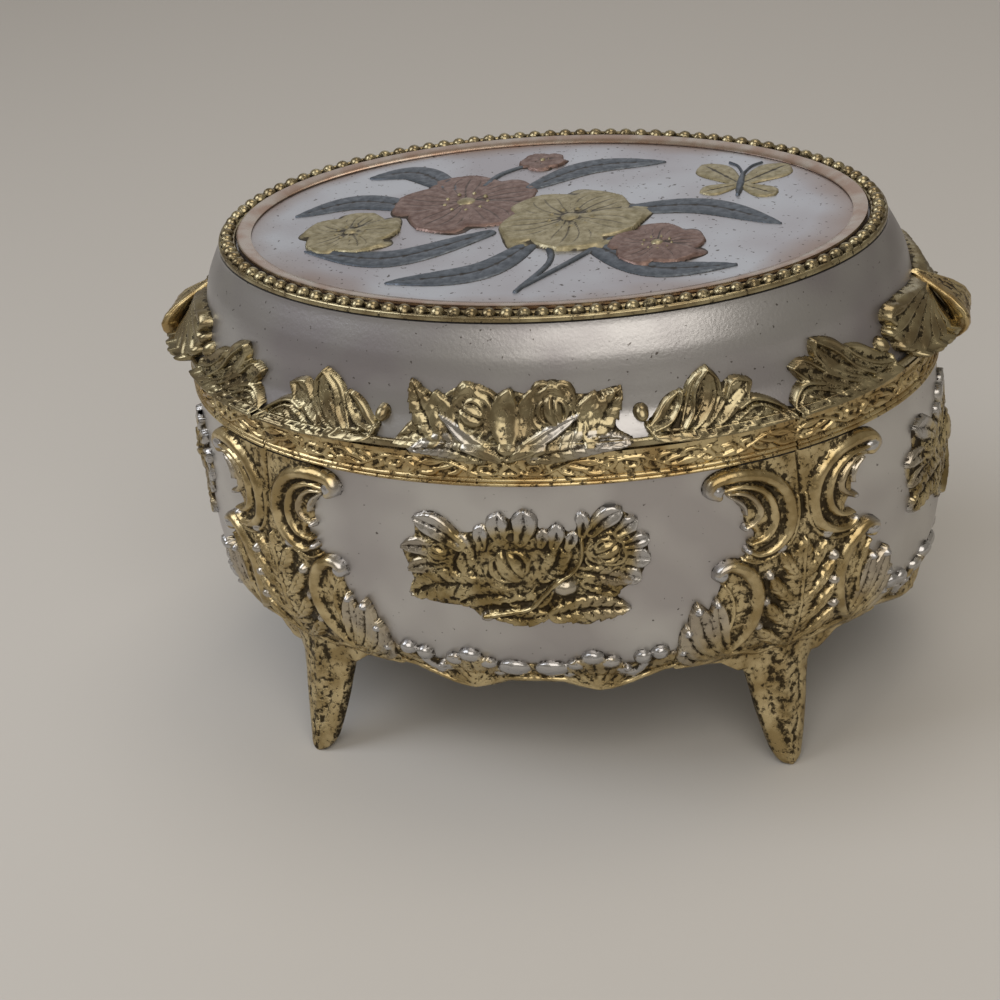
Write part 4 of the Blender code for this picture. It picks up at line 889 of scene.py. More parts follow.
def make_rose_sprays():
    tall = SPRAY_REACH * SPRAY_HEIGHT_SHARE
    relief = Relief(-SPRAY_REACH - MM, SPRAY_REACH + MM, SPRAY_MIDDLE - tall, SPRAY_MIDDLE + tall)
    slab(relief, in_metres(SPRAY_OUTLINE), SPRAY_GROUND_SHARE * SPRAY_RELIEF, SPRAY_EDGE)
    for places, width, lift, teeth, veins, ribs, silver in SPRAY_LEAVES:
        leaf(relief, in_metres(places), width * MM, lift * SPRAY_RELIEF, silver, teeth=teeth, veins=veins,
             ribs=ribs, dish=0.4 if veins else 0.45, stem=0.6, fullest=0.5 if veins else 0.62)
    for place, size, lift, turn in SPRAY_ROSES:
        rose(relief, in_metres([place])[0], (size[0] * MM, size[1] * MM), lift * SPRAY_RELIEF, turn)
    cord(relief, in_metres(SPRAY_STEM), [width * MM for width in SPRAY_STEM_WIDTHS],
         SPRAY_STEM_LIFT_SHARE * SPRAY_RELIEF)
    ball(relief, in_metres([SPRAY_BUD])[0], SPRAY_BUD_RADIUS * MM, SPRAY_BUD_LIFT_SHARE * SPRAY_RELIEF,
         silver=0.5, squash=1.4)
    stipple(relief, SPRAY_DENTS)
    silver_tips(relief, low_share=0.3, high_share=0.6)
    for side, middle_angle in SIDES.items():
        spray = cast_relief(side + "_rose_relief", relief, seat_place(middle_angle, wall_offset),
                            gilt_spray)
        dress(spray, "body", "gilt", side + "_rose_spray")


# Half a leg: its ground
LEG_GROUND = ((0.0, 63.0), (8.6, 63.0), (12.0, 60.6), (12.6, 58.6), (10.6, 54.4), (10.4, 50.8), (8.8, 48.0),
    (10.6, 44.4), (12.6, 43.2), (14.4, 39.6), (16.0, 35.0), (19.4, 33.0), (20.6, 28.0), (21.0, 21.4),
    (0.0, 21.4))
# Its scrolls and ribs: places, half widths along them, lift share, silver share
LEG_BANDS = (
    (((15.0, 56.9), (16.4, 57.9), (15.4, 59.5), (12.4, 60.1), (8.4, 59.6), (5.2, 57.9), (3.0, 55.0),
      (2.2, 51.2), (3.0, 47.4), (5.6, 45.0), (8.4, 44.4), (10.2, 45.2)),
     (1.0, 1.4, 1.4, 1.3, 1.2, 0.5), 1.0, 0.0),
    (((14.0, 58.0), (10.4, 58.0), (7.0, 56.2), (5.4, 53.0), (5.4, 49.8), (7.2, 47.4), (10.0, 46.8)),
     (0.5, 0.8, 0.9, 0.9, 0.4), 0.9, 0.0),
    (((13.4, 57.2), (10.6, 56.6), (8.6, 54.8), (7.8, 52.4), (9.2, 50.6), (10.6, 50.2)),
     (0.4, 0.7, 0.8, 0.3), 0.85, 0.2),
    (((13.0, 56.4), (11.6, 55.4), (10.6, 54.0), (10.4, 52.6)), (0.3, 0.6, 0.3), 0.8, 0.6),
    (((0.8, 53.6), (0.9, 49.8), (2.2, 46.0), (5.0, 43.5), (8.6, 42.7), (11.2, 43.8)), (0.4, 0.4, 0.3), 0.7,
     0.0),
    (((14.8, 40.9), (15.4, 42.2), (13.4, 43.0), (10.6, 41.4), (8.5, 38.2), (7.9, 34.6), (8.5, 30.6),
      (10.1, 27.0), (12.2, 24.4)),
     (0.9, 1.4, 1.5, 1.3, 0.7), 1.0, 0.0),
    (((14.4, 39.6), (13.0, 37.4), (12.2, 34.0), (12.6, 30.0)), (0.3, 0.35, 0.3), 0.75, 0.0),
    (((2.6, 22.6), (5.6, 21.9), (9.2, 23.4), (12.4, 23.2), (16.0, 21.9), (20.8, 21.9)),
     (0.8, 0.9, 0.8, 0.6), 0.75, 0.0))
# The leaves at its border: midrib from foot to tip, half width, lift share, ribs
LEG_LEAVES = ((((12.4, 24.2), (14.0, 30.0), (15.5, 37.0)), 1.7, 0.9, 2),
    (((13.2, 23.6), (16.6, 28.8), (19.0, 36.6)), 2.3, 1.0, 3),
    (((14.0, 23.0), (18.0, 26.4), (20.6, 32.2)), 2.1, 0.95, 3),
    (((14.6, 22.4), (18.6, 23.8), (21.0, 27.6)), 1.7, 0.9, 2))
# Balls and knobs: place, radius, lift share, silver share
LEG_KNOBS = (((15.2, 58.0), 1.6, 1.05, 1.0), ((15.0, 41.6), 1.5, 1.1, 1.0), ((18.6, 35.2), 1.0, 1.1, 1.0),
             ((15.3, 35.9), 0.8, 1.0, 1.0), ((20.0, 30.8), 0.9, 1.05, 1.0), ((20.4, 26.3), 0.8, 1.0, 1.0),
             ((4.4, 44.6), 1.2, 0.95, 0.8), ((6.3, 39.6), 1.1, 1.0, 0.7), ((6.7, 34.6), 1.1, 1.0, 0.7),
             ((7.4, 29.6), 1.1, 1.0, 0.7), ((10.6, 49.9), 0.7, 0.9, 0.9), ((10.4, 45.4), 0.8, 0.95, 0.9))
# Lobes of the feather leaf: the height at its midrib, and its tip
FEATHER_LOBES = ((37.6, (4.2, 43.6)), (32.4, (6.2, 39.4)), (27.4, (6.6, 34.4)), (23.0, (7.4, 29.2)))
FEATHER_SPINE = ((0, 21.6), (0, 33), (0, 45.4))
FEATHER_WIDTH = 4.6 * MM
FEATHER_LIFT_SHARE = 0.72
LOBE_FOOT = 0.3
LOBE_BEND_SHARES = (0.55, 0.4)
LOBE_WIDTH = 1.5 * MM
LOBE_LIFT_SHARE = 0.9
LEG_RIB = ((0, 45), (0, 33), (0, 17))
LEG_RIB_WIDTHS = (0.3, 0.55, 0.7)
LEG_RIB_LIFT_SHARE = 0.98
LEG_GROUND_SHARE = 0.42
LEG_GROUND_EDGE = 0.8 * MM
LEG_DENTS = 0.13 * MM
# The groove of the seam between the scrolls
SEAM_GROOVE_WIDTH = 0.0003
SEAM_GROOVE_DEPTH = 0.0004
SEAM_GROOVE_FOOT = 0.0475
SEAM_GROOVE_RUN = 0.002
# Where the silver starts: heights, and shares of the reach there
LEG_BORDER_SHARES = ((22, 1.1), (30, 0.97), (36, 0.9), (42, 0.68), (46, 0.52), (52, 0.5), (58, 0.72),
    (61, 0.76))
LEG_BORDER_BLEND_SHARE = 0.1
# Lower edge: shares of the reach, and the drop there
LEG_EDGE_SHARES = ((0.0, 4.6), (0.3, 4.4), (0.42, 2.6), (0.56, 0.6), (0.75, 0.0), (1.0, 0.3))
LEG_LEAN_SHARE = 0.58


def lean_at(height):
    start = WALL_FOOT + WALL_HEIGHT * LEG_LEAN_SHARE
    return LEG_LEAN * np.maximum(0.0, (start - height) / start)


def leg_edge(across):
    """Lower edge of a leg's casting, from the apron in to the top of the free foot."""
    return WALL_FOOT - np.interp(np.abs(across) / LEG_REACH, *zip(*LEG_EDGE_SHARES)) * MM


def model_half_leg(relief, hand):
    slab(relief, in_metres(LEG_GROUND, hand), LEG_GROUND_SHARE * LEG_RELIEF, LEG_GROUND_EDGE)
    for foot, tip in FEATHER_LOBES:
        middle = (tip[0] * LOBE_BEND_SHARES[0], foot + (tip[1] - foot) * LOBE_BEND_SHARES[1])
        leaf(relief, in_metres([(LOBE_FOOT, foot), middle, tip], hand), LOBE_WIDTH,
             LOBE_LIFT_SHARE * LEG_RELIEF, veins=5, dish=-0.3, fullest=0.62)
    for places, widths, lift, silver in LEG_BANDS:
        cord(relief, in_metres(places, hand), [width * MM for width in widths], lift * LEG_RELIEF, silver)
    for places, width, lift, ribs in LEG_LEAVES:
        leaf(relief, in_metres(places, hand), width * MM, lift * LEG_RELIEF, silver=0.45, ribs=ribs,
             dish=0.35, stem=0.7, fullest=0.6)
    for place, radius, lift, silver in LEG_KNOBS:
        ball(relief, in_metres([place], hand)[0], radius * MM, lift * LEG_RELIEF, silver)


def make_legs():
    top = WALL_TOP + SOLDER_SHARE * SEAT_GAP
    relief = Relief(-LEG_REACH, LEG_REACH, WALL_FOOT, top, edge=leg_edge)
    leaf(relief, in_metres(FEATHER_SPINE), FEATHER_WIDTH, FEATHER_LIFT_SHARE * LEG_RELIEF, veins=17,
         dish=-0.25, stem=0.8, fullest=0.55)
    for hand in (-1, 1):
        model_half_leg(relief, hand)
    cord(relief, in_metres(LEG_RIB), [width * MM for width in LEG_RIB_WIDTHS],
         LEG_RIB_LIFT_SHARE * LEG_RELIEF)
    above = np.clip((relief.up - SEAM_GROOVE_FOOT) / SEAM_GROOVE_RUN, 0, 1)
    groove = SEAM_GROOVE_DEPTH * np.exp(-(relief.across / SEAM_GROOVE_WIDTH) ** 2) * above
    relief.level = relief.level - groove
    stipple(relief, LEG_DENTS)
    border = np.interp(relief.up / MM, *zip(*LEG_BORDER_SHARES))
    outside = (np.abs(relief.across) / LEG_REACH - border) / LEG_BORDER_BLEND_SHARE
    relief.silver = np.maximum(relief.silver, np.clip(outside, 0, 1))
    hem(relief, HEM_DEPTH)
    for corner, (side_x, side_y) in CORNERS.items():
        seam_angle = math.atan2(side_y * math.sin(SEAM_ANGLE), side_x * math.cos(SEAM_ANGLE))
        lean_hand = side_x * side_y

        def place(across, up, level):
            turned = angle_at(seam_angle, across + lean_hand * lean_at(up))
            return on_oval(turned, wall_offset(up) + level, up)

        casting = cast_relief(corner + "_leg_casting", relief, place, gilt)
        dress(casting, "body", "gilt", corner + "_leg")
        dress(make_foot(corner, seam_angle, lean_hand), "body", "gilt", corner + "_leg")


# The free foot: shares of its height, and its half width there as a share of the leg's reach
FOOT_WIDTH_SHARES = ((0.0, 0.035), (0.015, 0.07), (0.05, 0.105), (0.11, 0.135), (0.2, 0.165), (0.32, 0.2),
                     (0.45, 0.235), (0.58, 0.262), (0.72, 0.3), (0.84, 0.4), (0.93, 0.52), (1.0, 0.6))
FOOT_POINTS, FOOT_RINGS = 56, 90
TOE_FRONT_ROUNDING, TOE_FRONT_SHARE = 0.0014, 0.6
TOE_BACK_ROUNDING, TOE_BACK_SHARE = 0.003, 2
FOOT_RIDGE_SHARE = 0.6
FOOT_EDGE_SHARE = 0.93
# Grooves beside the midrib, along the leaf's border and of its veins: place, half width and depth
RIB_GROOVE_SHARES = (0.17, 0.06, 0.11)
BORDER_GROOVE_SHARES = (0.55, 0.07, 0.1)
FOOT_VEIN_SPACING = 0.0019
FOOT_VEIN_SLANT = 1.6
FOOT_VEIN_DEPTH_SHARE = 0.06
FOOT_VEIN_REACH_SHARE = 0.5
FOOT_VEIN_START_SHARE = 0.15
FOOT_LEAF_STRETCH_SHARE, FOOT_LEAF_START_SHARE = 1.15, 0.1
# How strongly painted shade darkens the foot's grooves and side edges, and how much lighter the rest is
# kept
FOOT_GROOVE_SHADE_SHARE = 7
FOOT_EDGE_SHADE_SHARE = 0.6
FOOT_BRIGHT_SHARE = 0.1


def wrapped_grid(around, rings):
    """A grid to be wrapped round a closed section, with each point's turn about it and share along it."""
    shape = bmesh.new()
    bmesh.ops.create_grid(shape, x_segments=around, y_segments=rings, size=0.5)
    mesh = bpy.data.meshes.new("wrapped")
    shape.to_mesh(mesh)
    shape.free()
    flat = np.empty(3 * len(mesh.vertices), np.float32)
    mesh.vertices.foreach_get("co", flat)
    flat = flat.reshape(-1, 3)
    return mesh, (flat[:, 0] + 0.5) * math.tau, flat[:, 1] + 0.5


def closed_from(name, mesh, points, hollow_and_painted_shade, material):
    """Moves a wrapped grid to its points, joins its seam and closes its ends."""
    mesh.vertices.foreach_set("co", np.ascontiguousarray(points, dtype=np.float32).ravel())
    add_field(mesh, "hollow_and_painted_shade", hollow_and_painted_shade)
    shape = bmesh.new()
    shape.from_mesh(mesh)
    bpy.data.meshes.remove(mesh)
    bmesh.ops.remove_doubles(shape, verts=shape.verts[:], dist=MERGE_DISTANCE)
    bmesh.ops.holes_fill(shape, edges=[edge for edge in shape.edges if edge.is_boundary], sides=0)
    return put_in_scene(name, mesh_from(name, shape, CAST_CREASE_ANGLE), material)


def make_foot(corner, seam_angle, lean_hand):
    """The free foot: a ridged section with an engraved leaf, which flares out to a rounded toe."""
    mesh, turn, share = wrapped_grid(FOOT_POINTS, FOOT_RINGS)
    up = FOOT_TOP * share
    half_width = LEG_REACH * np.interp(share, *zip(*FOOT_WIDTH_SHARES))
    below = np.clip(1 - up / WALL_FOOT, 0, 1)
    start = -WALL_FOOT_INSET + LEG_RELIEF
    front = start + (TOE_FLARE - start) * below ** 1.3
    front = front - TOE_FRONT_SHARE * TOE_LIFT * np.clip(1 - up / TOE_FRONT_ROUNDING, 0, 1) ** 2
    thick = LEG_DEPTH + (TOE_DEPTH - LEG_DEPTH) * below
    back = front - thick + TOE_BACK_SHARE * TOE_LIFT * np.clip(1 - up / TOE_BACK_ROUNDING, 0, 1) ** 2
    side, rise = np.cos(turn), np.sin(turn)
    ridge = 1 - FOOT_RIDGE_SHARE * np.abs(side) ** 1.5
    rib_place, rib_width, rib_depth = RIB_GROOVE_SHARES
    border_place, border_width, border_depth = BORDER_GROOVE_SHARES
    along = np.clip(share * FOOT_LEAF_STRETCH_SHARE - FOOT_LEAF_START_SHARE, 0, 1)
    leaf_width = border_place * np.sin(math.pi * along)
    groove = rib_depth * np.exp(-((np.abs(side) - rib_place) / rib_width) ** 2)
    groove = groove + border_depth * np.exp(-((np.abs(side) - leaf_width) / border_width) ** 2)
    veins = np.maximum(0, np.cos(math.tau * (up / FOOT_VEIN_SPACING - FOOT_VEIN_SLANT * np.abs(side)))) ** 3
    veined = (np.abs(side) < FOOT_VEIN_REACH_SHARE) * (share > FOOT_VEIN_START_SHARE)
    groove = groove + FOOT_VEIN_DEPTH_SHARE * veins * veined
    depth = np.where(rise > 0, (ridge - groove) * np.abs(rise) ** 0.35, -np.abs(rise) ** 0.6)
    offset = (front + back) / 2 + depth * (front - back) / 2
    points = on_oval(angle_at(seam_angle, -half_width * side + lean_hand * lean_at(up)), offset, up)
    # Painted shade in the grooves of the upper face and on the side edges; the rest is kept a little
    # lighter
    hollow_and_painted_shade = FOOT_GROOVE_SHADE_SHARE * groove * (rise > 0) - FOOT_BRIGHT_SHARE
    hollow_and_painted_shade = hollow_and_painted_shade + FOOT_EDGE_SHADE_SHARE * (np.abs(side) > FOOT_EDGE_SHARE)
    return closed_from(corner + "_foot", mesh, points, hollow_and_painted_shade, gilt)


# Apron: across in shares of its half width, up in shares of its height, sizes in shares of its height
APRON_EDGE_SHARES = ((0.0, 0.2), (0.2, 0.19), (0.33, 0.08), (0.46, 0.0), (0.6, 0.05), (0.75, 0.17),
    (1.0, 0.36))
# Fan of a leaf group: tip, half width, lift, silver
APRON_FAN_SHARES = (((0.25, 0.52), 0.17, 0.8, 0.8), ((0.31, 0.78), 0.2, 0.9, 0.9),
    ((0.43, 0.95), 0.24, 1.0, 0.9), ((0.55, 0.82), 0.22, 0.95, 0.9), ((0.63, 0.55), 0.17, 0.8, 0.8))
APRON_FAN_FOOT_SHARES = (0.45, 0.1)
# Balls and tabs: place, radius, squash
APRON_KNOB_SHARES = (((0.135, 0.52), 0.21, 1.5), ((0.77, 0.74), 0.16, 1.0), ((0.89, 0.82), 0.15, 1.1),
                     ((0.66, 0.5), 0.09, 1.0))
APRON_CRESCENT_SHARES = ((0.6, 0.5), (0.66, 0.36), (0.73, 0.38), (0.79, 0.6))
# Ground and rim along the edge: rise, half width and lift
APRON_GROUND_SHARES = (0.2, 0.24, 0.35)
APRON_RIM_SHARES = (0.07, 0.06, 0.7)
APRON_FAN_BEND_SHARE = 0.8
# Stud near the tip of each leaf: how far below it, radius and lift
APRON_STUD_SHARES = (0.14, 0.66, 1.05)
APRON_KNOB_LIFT_SHARE = 1.05
APRON_CRESCENT_WIDTH_SHARES = (0.07, 0.11, 0.07)
APRON_CRESCENT_LIFT_SHARE = 0.85
# Height where the silver starts, and the height of its blend
APRON_SILVER_SHARES = (0.72, 0.15)
APRON_TOP_SHARE = 1.02
APRON_DENTS = 0.12 * MM


def model_half_apron(relief, spots):
    """Ground, fan, knobs, crescent and rim of half an apron. Spots turns shares into places."""
    rise, width, lift = APRON_GROUND_SHARES
    ground = spots([(x, y + rise) for x, y in APRON_EDGE_SHARES])
    cord(relief, ground, [width * APRON_HEIGHT], lift * APRON_RELIEF, roundness=8)
    start = APRON_FAN_FOOT_SHARES
    drop, radius, stud_lift = APRON_STUD_SHARES
    for tip, width, lift, silver in APRON_FAN_SHARES:
        middle = (start[0] + APRON_FAN_BEND_SHARE * (tip[0] - start[0]), (start[1] + tip[1]) / 2)
        leaf(relief, spots([start, middle, tip]), width * APRON_HEIGHT, lift * APRON_RELIEF, ribs=3,
             dish=0.3, stem=0.3, fullest=0.7)
        ball(relief, spots([(tip[0], tip[1] - drop)])[0], width * radius * APRON_HEIGHT,
             stud_lift * lift * APRON_RELIEF, silver, squash=1.3)
    for spot, radius, squash in APRON_KNOB_SHARES:
        ball(relief, spots([spot])[0], radius * APRON_HEIGHT, APRON_KNOB_LIFT_SHARE * APRON_RELIEF,
             silver=0.95, squash=squash)
    widths = [width * APRON_HEIGHT for width in APRON_CRESCENT_WIDTH_SHARES]
    cord(relief, spots(APRON_CRESCENT_SHARES), widths, APRON_CRESCENT_LIFT_SHARE * APRON_RELIEF, silver=0.9)
    rise, width, lift = APRON_RIM_SHARES
    rim = spots([(x, y + rise) for x, y in APRON_EDGE_SHARES])
    cord(relief, rim, [width * APRON_HEIGHT], lift * APRON_RELIEF)


def make_aprons():
    foot = WALL_FOOT - APRON_DROP
    silver_foot, silver_run = APRON_SILVER_SHARES
    for side, middle_angle in SIDES.items():
        lengthwise = side in ("front", "back")
        distance = SEAM_TO_FRONT if lengthwise else SEAM_TO_END
        lean_side = 1 if lengthwise else -1
        half_width = distance - LEG_REACH - lean_side * float(lean_at(WALL_FOOT)) + ORNAMENT_GAP

        def edge(across):
            return foot + APRON_HEIGHT * np.interp(np.abs(across) / half_width, *zip(*APRON_EDGE_SHARES))

        relief = Relief(-half_width, half_width, foot, foot + APRON_HEIGHT * APRON_TOP_SHARE, edge=edge)
        for hand in (-1, 1):
            def spots(shares):
                return [(hand * x * half_width, foot + y * APRON_HEIGHT) for x, y in shares]

            model_half_apron(relief, spots)
        stipple(relief, APRON_DENTS)
        high = (relief.up - foot) / APRON_HEIGHT
        relief.silver = np.maximum(relief.silver, np.clip((high - silver_foot) / silver_run, 0, 1))
        hem(relief, HEM_DEPTH)
        apron = cast_relief(side + "_apron_relief", relief, seat_place(middle_angle, wall_offset), gilt)
        dress(apron, "body", "gilt", side + "_apron")


# Lid

def make_lid_shell():
    heights = np.linspace(LID_FOOT, LID_TOP, SECTION_POINTS)
    under_flange = LID_TOP - LID_THICKNESS
    outer = [(float(lid_offset(height)), height) for height in heights]
    inner = [(offset - LID_THICKNESS, height) for offset, height in outer if height < under_flange]
    inner.append((float(lid_offset(under_flange)) - LID_THICKNESS, under_flange))
    flange = outer[-1][0] - LID_THICKNESS - LID_FLANGE_WIDTH
    profile = outer + [(flange, LID_TOP), (flange, under_flange)] + inner[::-1]
    dress(swept("lid_slope", profile, silver_lid), "lid", "silvered", "lid_shell")
    inner_edge = float(lid_offset(LID_FOOT)) + SEAT_GAP
    middle = (LID_EDGE_TOP + LID_FOOT) / 2
    half = (LID_EDGE_TOP - LID_FOOT) / 2
    nose = [(-half / 2 * (1 - math.cos(angle)), middle + half * math.sin(angle))
            for angle in np.linspace(-math.pi / 2, math.pi / 2, NOSE_POINTS)]
    profile = [(inner_edge, LID_FOOT)] + nose + [(inner_edge, LID_EDGE_TOP)]
    dress(swept("lid_edge", profile, gilt_lid), "lid", "gilt", "lid_edge_moulding")


def half_round(middle, height, radius):
    """The top of a rail's section, from its outer to its inner side."""
    return [(middle + radius * math.cos(angle), height + radius * math.sin(angle))
            for angle in np.linspace(0, math.pi, RAIL_POINTS)]


def make_bead_rim():
    """The ring of beads, in a channel between two rails."""
    foot = LID_TOP + SEAT_GAP
    outer = -LID_SLOPE_INSET
    inner = outer - BEAD_RIM_WIDTH
    radius = BEAD_RAIL_RADIUS
    rail_height = foot + BEAD_RIM_HEIGHT - radius
    floor_level = foot + BEAD_CHANNEL_FLOOR
    profile = [(outer, foot)] + half_round(outer - radius, rail_height, radius)
    profile += [(outer - 2 * radius, floor_level), (inner + 2 * radius, floor_level)]
    profile += half_round(inner + radius, rail_height, radius) + [(inner, foot)]
    dress(swept("bead_channel", profile, gilt_lid, steps=2 * BEAD_COUNT), "lid", "gilt", "lid_bead_rim")
    lengths = np.linspace(0, arc_at(math.pi) - arc_at(-math.pi), BEAD_COUNT + 1)[:-1]
    seat = foot + BEAD_RIM_HEIGHT * BEAD_SEAT_SHARE
    shape = bmesh.new()
    for length in lengths:
        place = on_oval(float(angle_at(-math.pi, length)), (outer + inner) / 2, seat)
        squash = Matrix.Diagonal((1, 1, BEAD_SQUASH_SHARE, 1))
        bmesh.ops.create_uvsphere(shape, u_segments=BEAD_SEGMENTS, v_segments=BEAD_RINGS,
                                  radius=BEAD_RADIUS, matrix=Matrix.Translation(place) @ squash)
    beads = put_in_scene("bead_row", mesh_from("bead_row", shape), gilt_lid)
    # Painted shade: each bead is darkened towards its foot, fading out over BEAD_SHADE_HEIGHT
    hollow_and_painted_shade = np.array([1 - min(1, (vert.co.z - foot) / BEAD_SHADE_HEIGHT) for vert in beads.data.vertices])
    add_field(beads.data, "hollow_and_painted_shade", BEAD_SHADE_SHARE * hollow_and_painted_shade)
    dress(beads, "lid", "gilt", "lid_bead_rim")


def make_plate():
    """The domed plate, the slanting bezel round it, and the picture."""
    foot = LID_TOP + SEAT_GAP
    plate_top = foot + PLATE_THICKNESS
    edge = PLATE_HALF_DEPTH - BAND_HALF_DEPTH
    inner = edge - BEZEL_WIDTH
    rise = PLATE_DOME * (1 - ((PLATE_HALF_DEPTH - BEZEL_WIDTH) / PLATE_HALF_DEPTH) ** 2)
    profile = [(edge, plate_top + SEAT_GAP)]
    profile += [(edge - across, plate_top + up) for across, up in BEZEL_OUTER_NOSE]
    profile += [(inner + across, plate_top + rise + up) for across, up in BEZEL_INNER_NOSE]
    dress(swept("bezel_ring", profile, copper_gilt), "lid", "copper_gilt", "lid_bezel")
    shape = bmesh.new()
    bmesh.ops.create_cone(shape, cap_ends=True, segments=RING_STEPS, radius1=1, radius2=1, depth=1)
    top = max(shape.faces, key=lambda face: face.calc_center_median().z)
    for _ in range(PLATE_RINGS):
        bmesh.ops.inset_individual(shape, faces=[top], thickness=1 / (PLATE_RINGS + 1), depth=0)
    for vert in shape.verts:
        dome = PLATE_DOME * (1 - vert.co.x ** 2 - vert.co.y ** 2)
        height = plate_top + dome if vert.co.z > 0 else foot
        vert.co = (vert.co.x * PLATE_HALF_LENGTH, vert.co.y * PLATE_HALF_DEPTH, height)
    plate = put_in_scene("lid_plate", mesh_from("lid_plate", shape), silver_plate)
    dress(plate, "lid", "silvered", "lid_picture_plate")
    make_picture(plate_top)


# Twin roses on the lid, in shares of their half width, up from the lid's foot
ROSES_LEAF_SHARES = (
    (((-0.6, 0.12), (-0.74, 0.3), (-0.835, 0.52)), 0.13, 0.85, 6, 5, 0),
    (((0.66, 0.12), (0.82, 0.28), (0.965, 0.44)), 0.13, 0.85, 6, 5, 0),
    (((-0.5, 0.14), (-0.6, 0.34), (-0.62, 0.44)), 0.13, 0.75, 0, 0, 0),
    (((0.62, 0.16), (0.7, 0.3), (0.74, 0.42)), 0.12, 0.75, 0, 0, 0),
    (((-0.3, 0.3), (-0.32, 0.42), (-0.3, 0.5)), 0.13, 0.7, 0, 0, 0),
    (((0.36, 0.3), (0.38, 0.44), (0.38, 0.51)), 0.14, 0.7, 0, 0, 0),
    (((0.0, 0.08), (-0.02, 0.3), (0.03, 0.47)), 0.14, 0.75, 0, 0, 0),
    (((0.14, 0.08), (0.16, 0.3), (0.2, 0.45)), 0.1, 0.6, 0, 0, 0),
    (((-0.5, 0.0), (-0.7, 0.12), (-0.95, 0.06)), 0.12, 0.5, 0, 6, 0),
    (((0.2, -0.02), (0.62, 0.07), (0.99, 0.06)), 0.1, 0.8, 0, 8, 0.55),
    (((-0.2, -0.03), (-0.5, 0.06), (-0.82, 0.02)), 0.09, 0.8, 0, 8, 0.55),
    (((0.0, -0.02), (0.12, 0.03), (0.3, -0.01)), 0.07, 0.6, 0, 5, 0.3),
    (((0.06, 0.0), (0.32, 0.13), (0.6, 0.27)), 0.055, 1.0, 0, 0, 0.7),
    (((-0.06, -0.02), (-0.32, 0.1), (-0.58, 0.27)), 0.055, 1.0, 0, 0, 0.7),
)
ROSES_BLOOM_SHARES = ((-0.3, 0.27, 0.23, 0.235, 0.95, 1.2), (0.38, 0.3, 0.23, 0.225, 0.95, 0.2))
ROSES_OUTLINE_SHARES = ((-0.85, 0.5), (-0.6, 0.4), (-0.45, 0.46), (-0.3, 0.5), (-0.12, 0.42), (0.02, 0.45),
    (0.2, 0.42), (0.38, 0.51), (0.54, 0.42), (0.7, 0.4), (0.95, 0.43), (0.88, 0.16), (0.97, 0.05),
    (0.5, -0.03), (0.0, -0.05), (-0.5, -0.03), (-0.93, 0.05), (-0.84, 0.2))
ROSES_DROP = 0.0013
ROSES_HEIGHT = 0.0118
# On the back they start above the hinge, with a tapered lower edge
BACK_ROSES_FOOT = 0.0030
BACK_ROSES_LIFT = 0.0012
BACK_ROSES_SLOPE = 0.0003
ROSES_GROUND_SHARE = 0.15
ROSES_EDGE = 0.6 * MM
ROSES_DENTS = 0.1 * MM
ROSES_TRIM = 0.0001


def make_lid_roses():
    for side in ("front", "back"):
        on_back = side == "back"
        foot = LID_FOOT + (BACK_ROSES_FOOT if on_back else -ROSES_DROP)
        lift_up = BACK_ROSES_LIFT if on_back else 0.0
        relief = Relief(-ROSES_REACH, ROSES_REACH, foot, LID_FOOT + ROSES_HEIGHT)

        def spots(shares):
            return [(x * ROSES_REACH, LID_FOOT + lift_up + y * ROSES_REACH) for x, y in shares]

        slab(relief, spots(ROSES_OUTLINE_SHARES), ROSES_GROUND_SHARE * ROSES_RELIEF, ROSES_EDGE)
        for shares, width, lift, teeth, veins, silver in ROSES_LEAF_SHARES:
            leaf(relief, spots(shares), width * ROSES_REACH, lift * ROSES_RELIEF, silver, teeth=teeth,
                 veins=veins, dish=0.3, stem=0.55)
        for across, up, half_width, half_height, lift, turn in ROSES_BLOOM_SHARES:
            rose(relief, spots([(across, up)])[0], (half_width * ROSES_REACH, half_height * ROSES_REACH),
                 lift * ROSES_RELIEF, turn)
        stipple(relief, ROSES_DENTS)
        relief.level[(relief.level < ROSES_TRIM) & (relief.up < LID_FOOT)] = -SINK
        if on_back:
            relief.level = np.minimum(relief.level, (relief.up - foot) / CELL * BACK_ROSES_SLOPE - SINK)
        roses = cast_relief("lid_" + side + "_rose_relief", relief, seat_place(SIDES[side], lid_seat),
                            gilt_lid)
        dress(roses, "lid", "gilt", "lid_" + side + "_roses")


# Lid scroll, across from the seam: its outline, then its leaves as midrib, half width, lift share and ribs
SCROLL_OUTLINE = ((25.2, 71.9), (22.6, 73.2), (19.0, 75.7), (17.7, 75.2), (16.5, 77.0), (13.8, 79.0),
    (11.5, 76.0), (10.6, 76.1), (9.2, 76.4), (6.3, 75.4), (7.3, 73.0), (4.7, 72.2), (1.8, 70.6),
    (0.3, 68.7), (14.7, 68.4), (23.2, 69.0), (25.4, 70.6))
SCROLL_LEAVES = ((((24.8, 70.6), (22.2, 72.2), (19.0, 75.9)), 1.7, 0.9, 2),
    (((18.6, 70.2), (16.0, 73.6), (13.8, 79.2)), 2.9, 1.0, 3),
    (((12.8, 71.2), (10.0, 73.6), (6.3, 75.7)), 2.3, 0.95, 3))
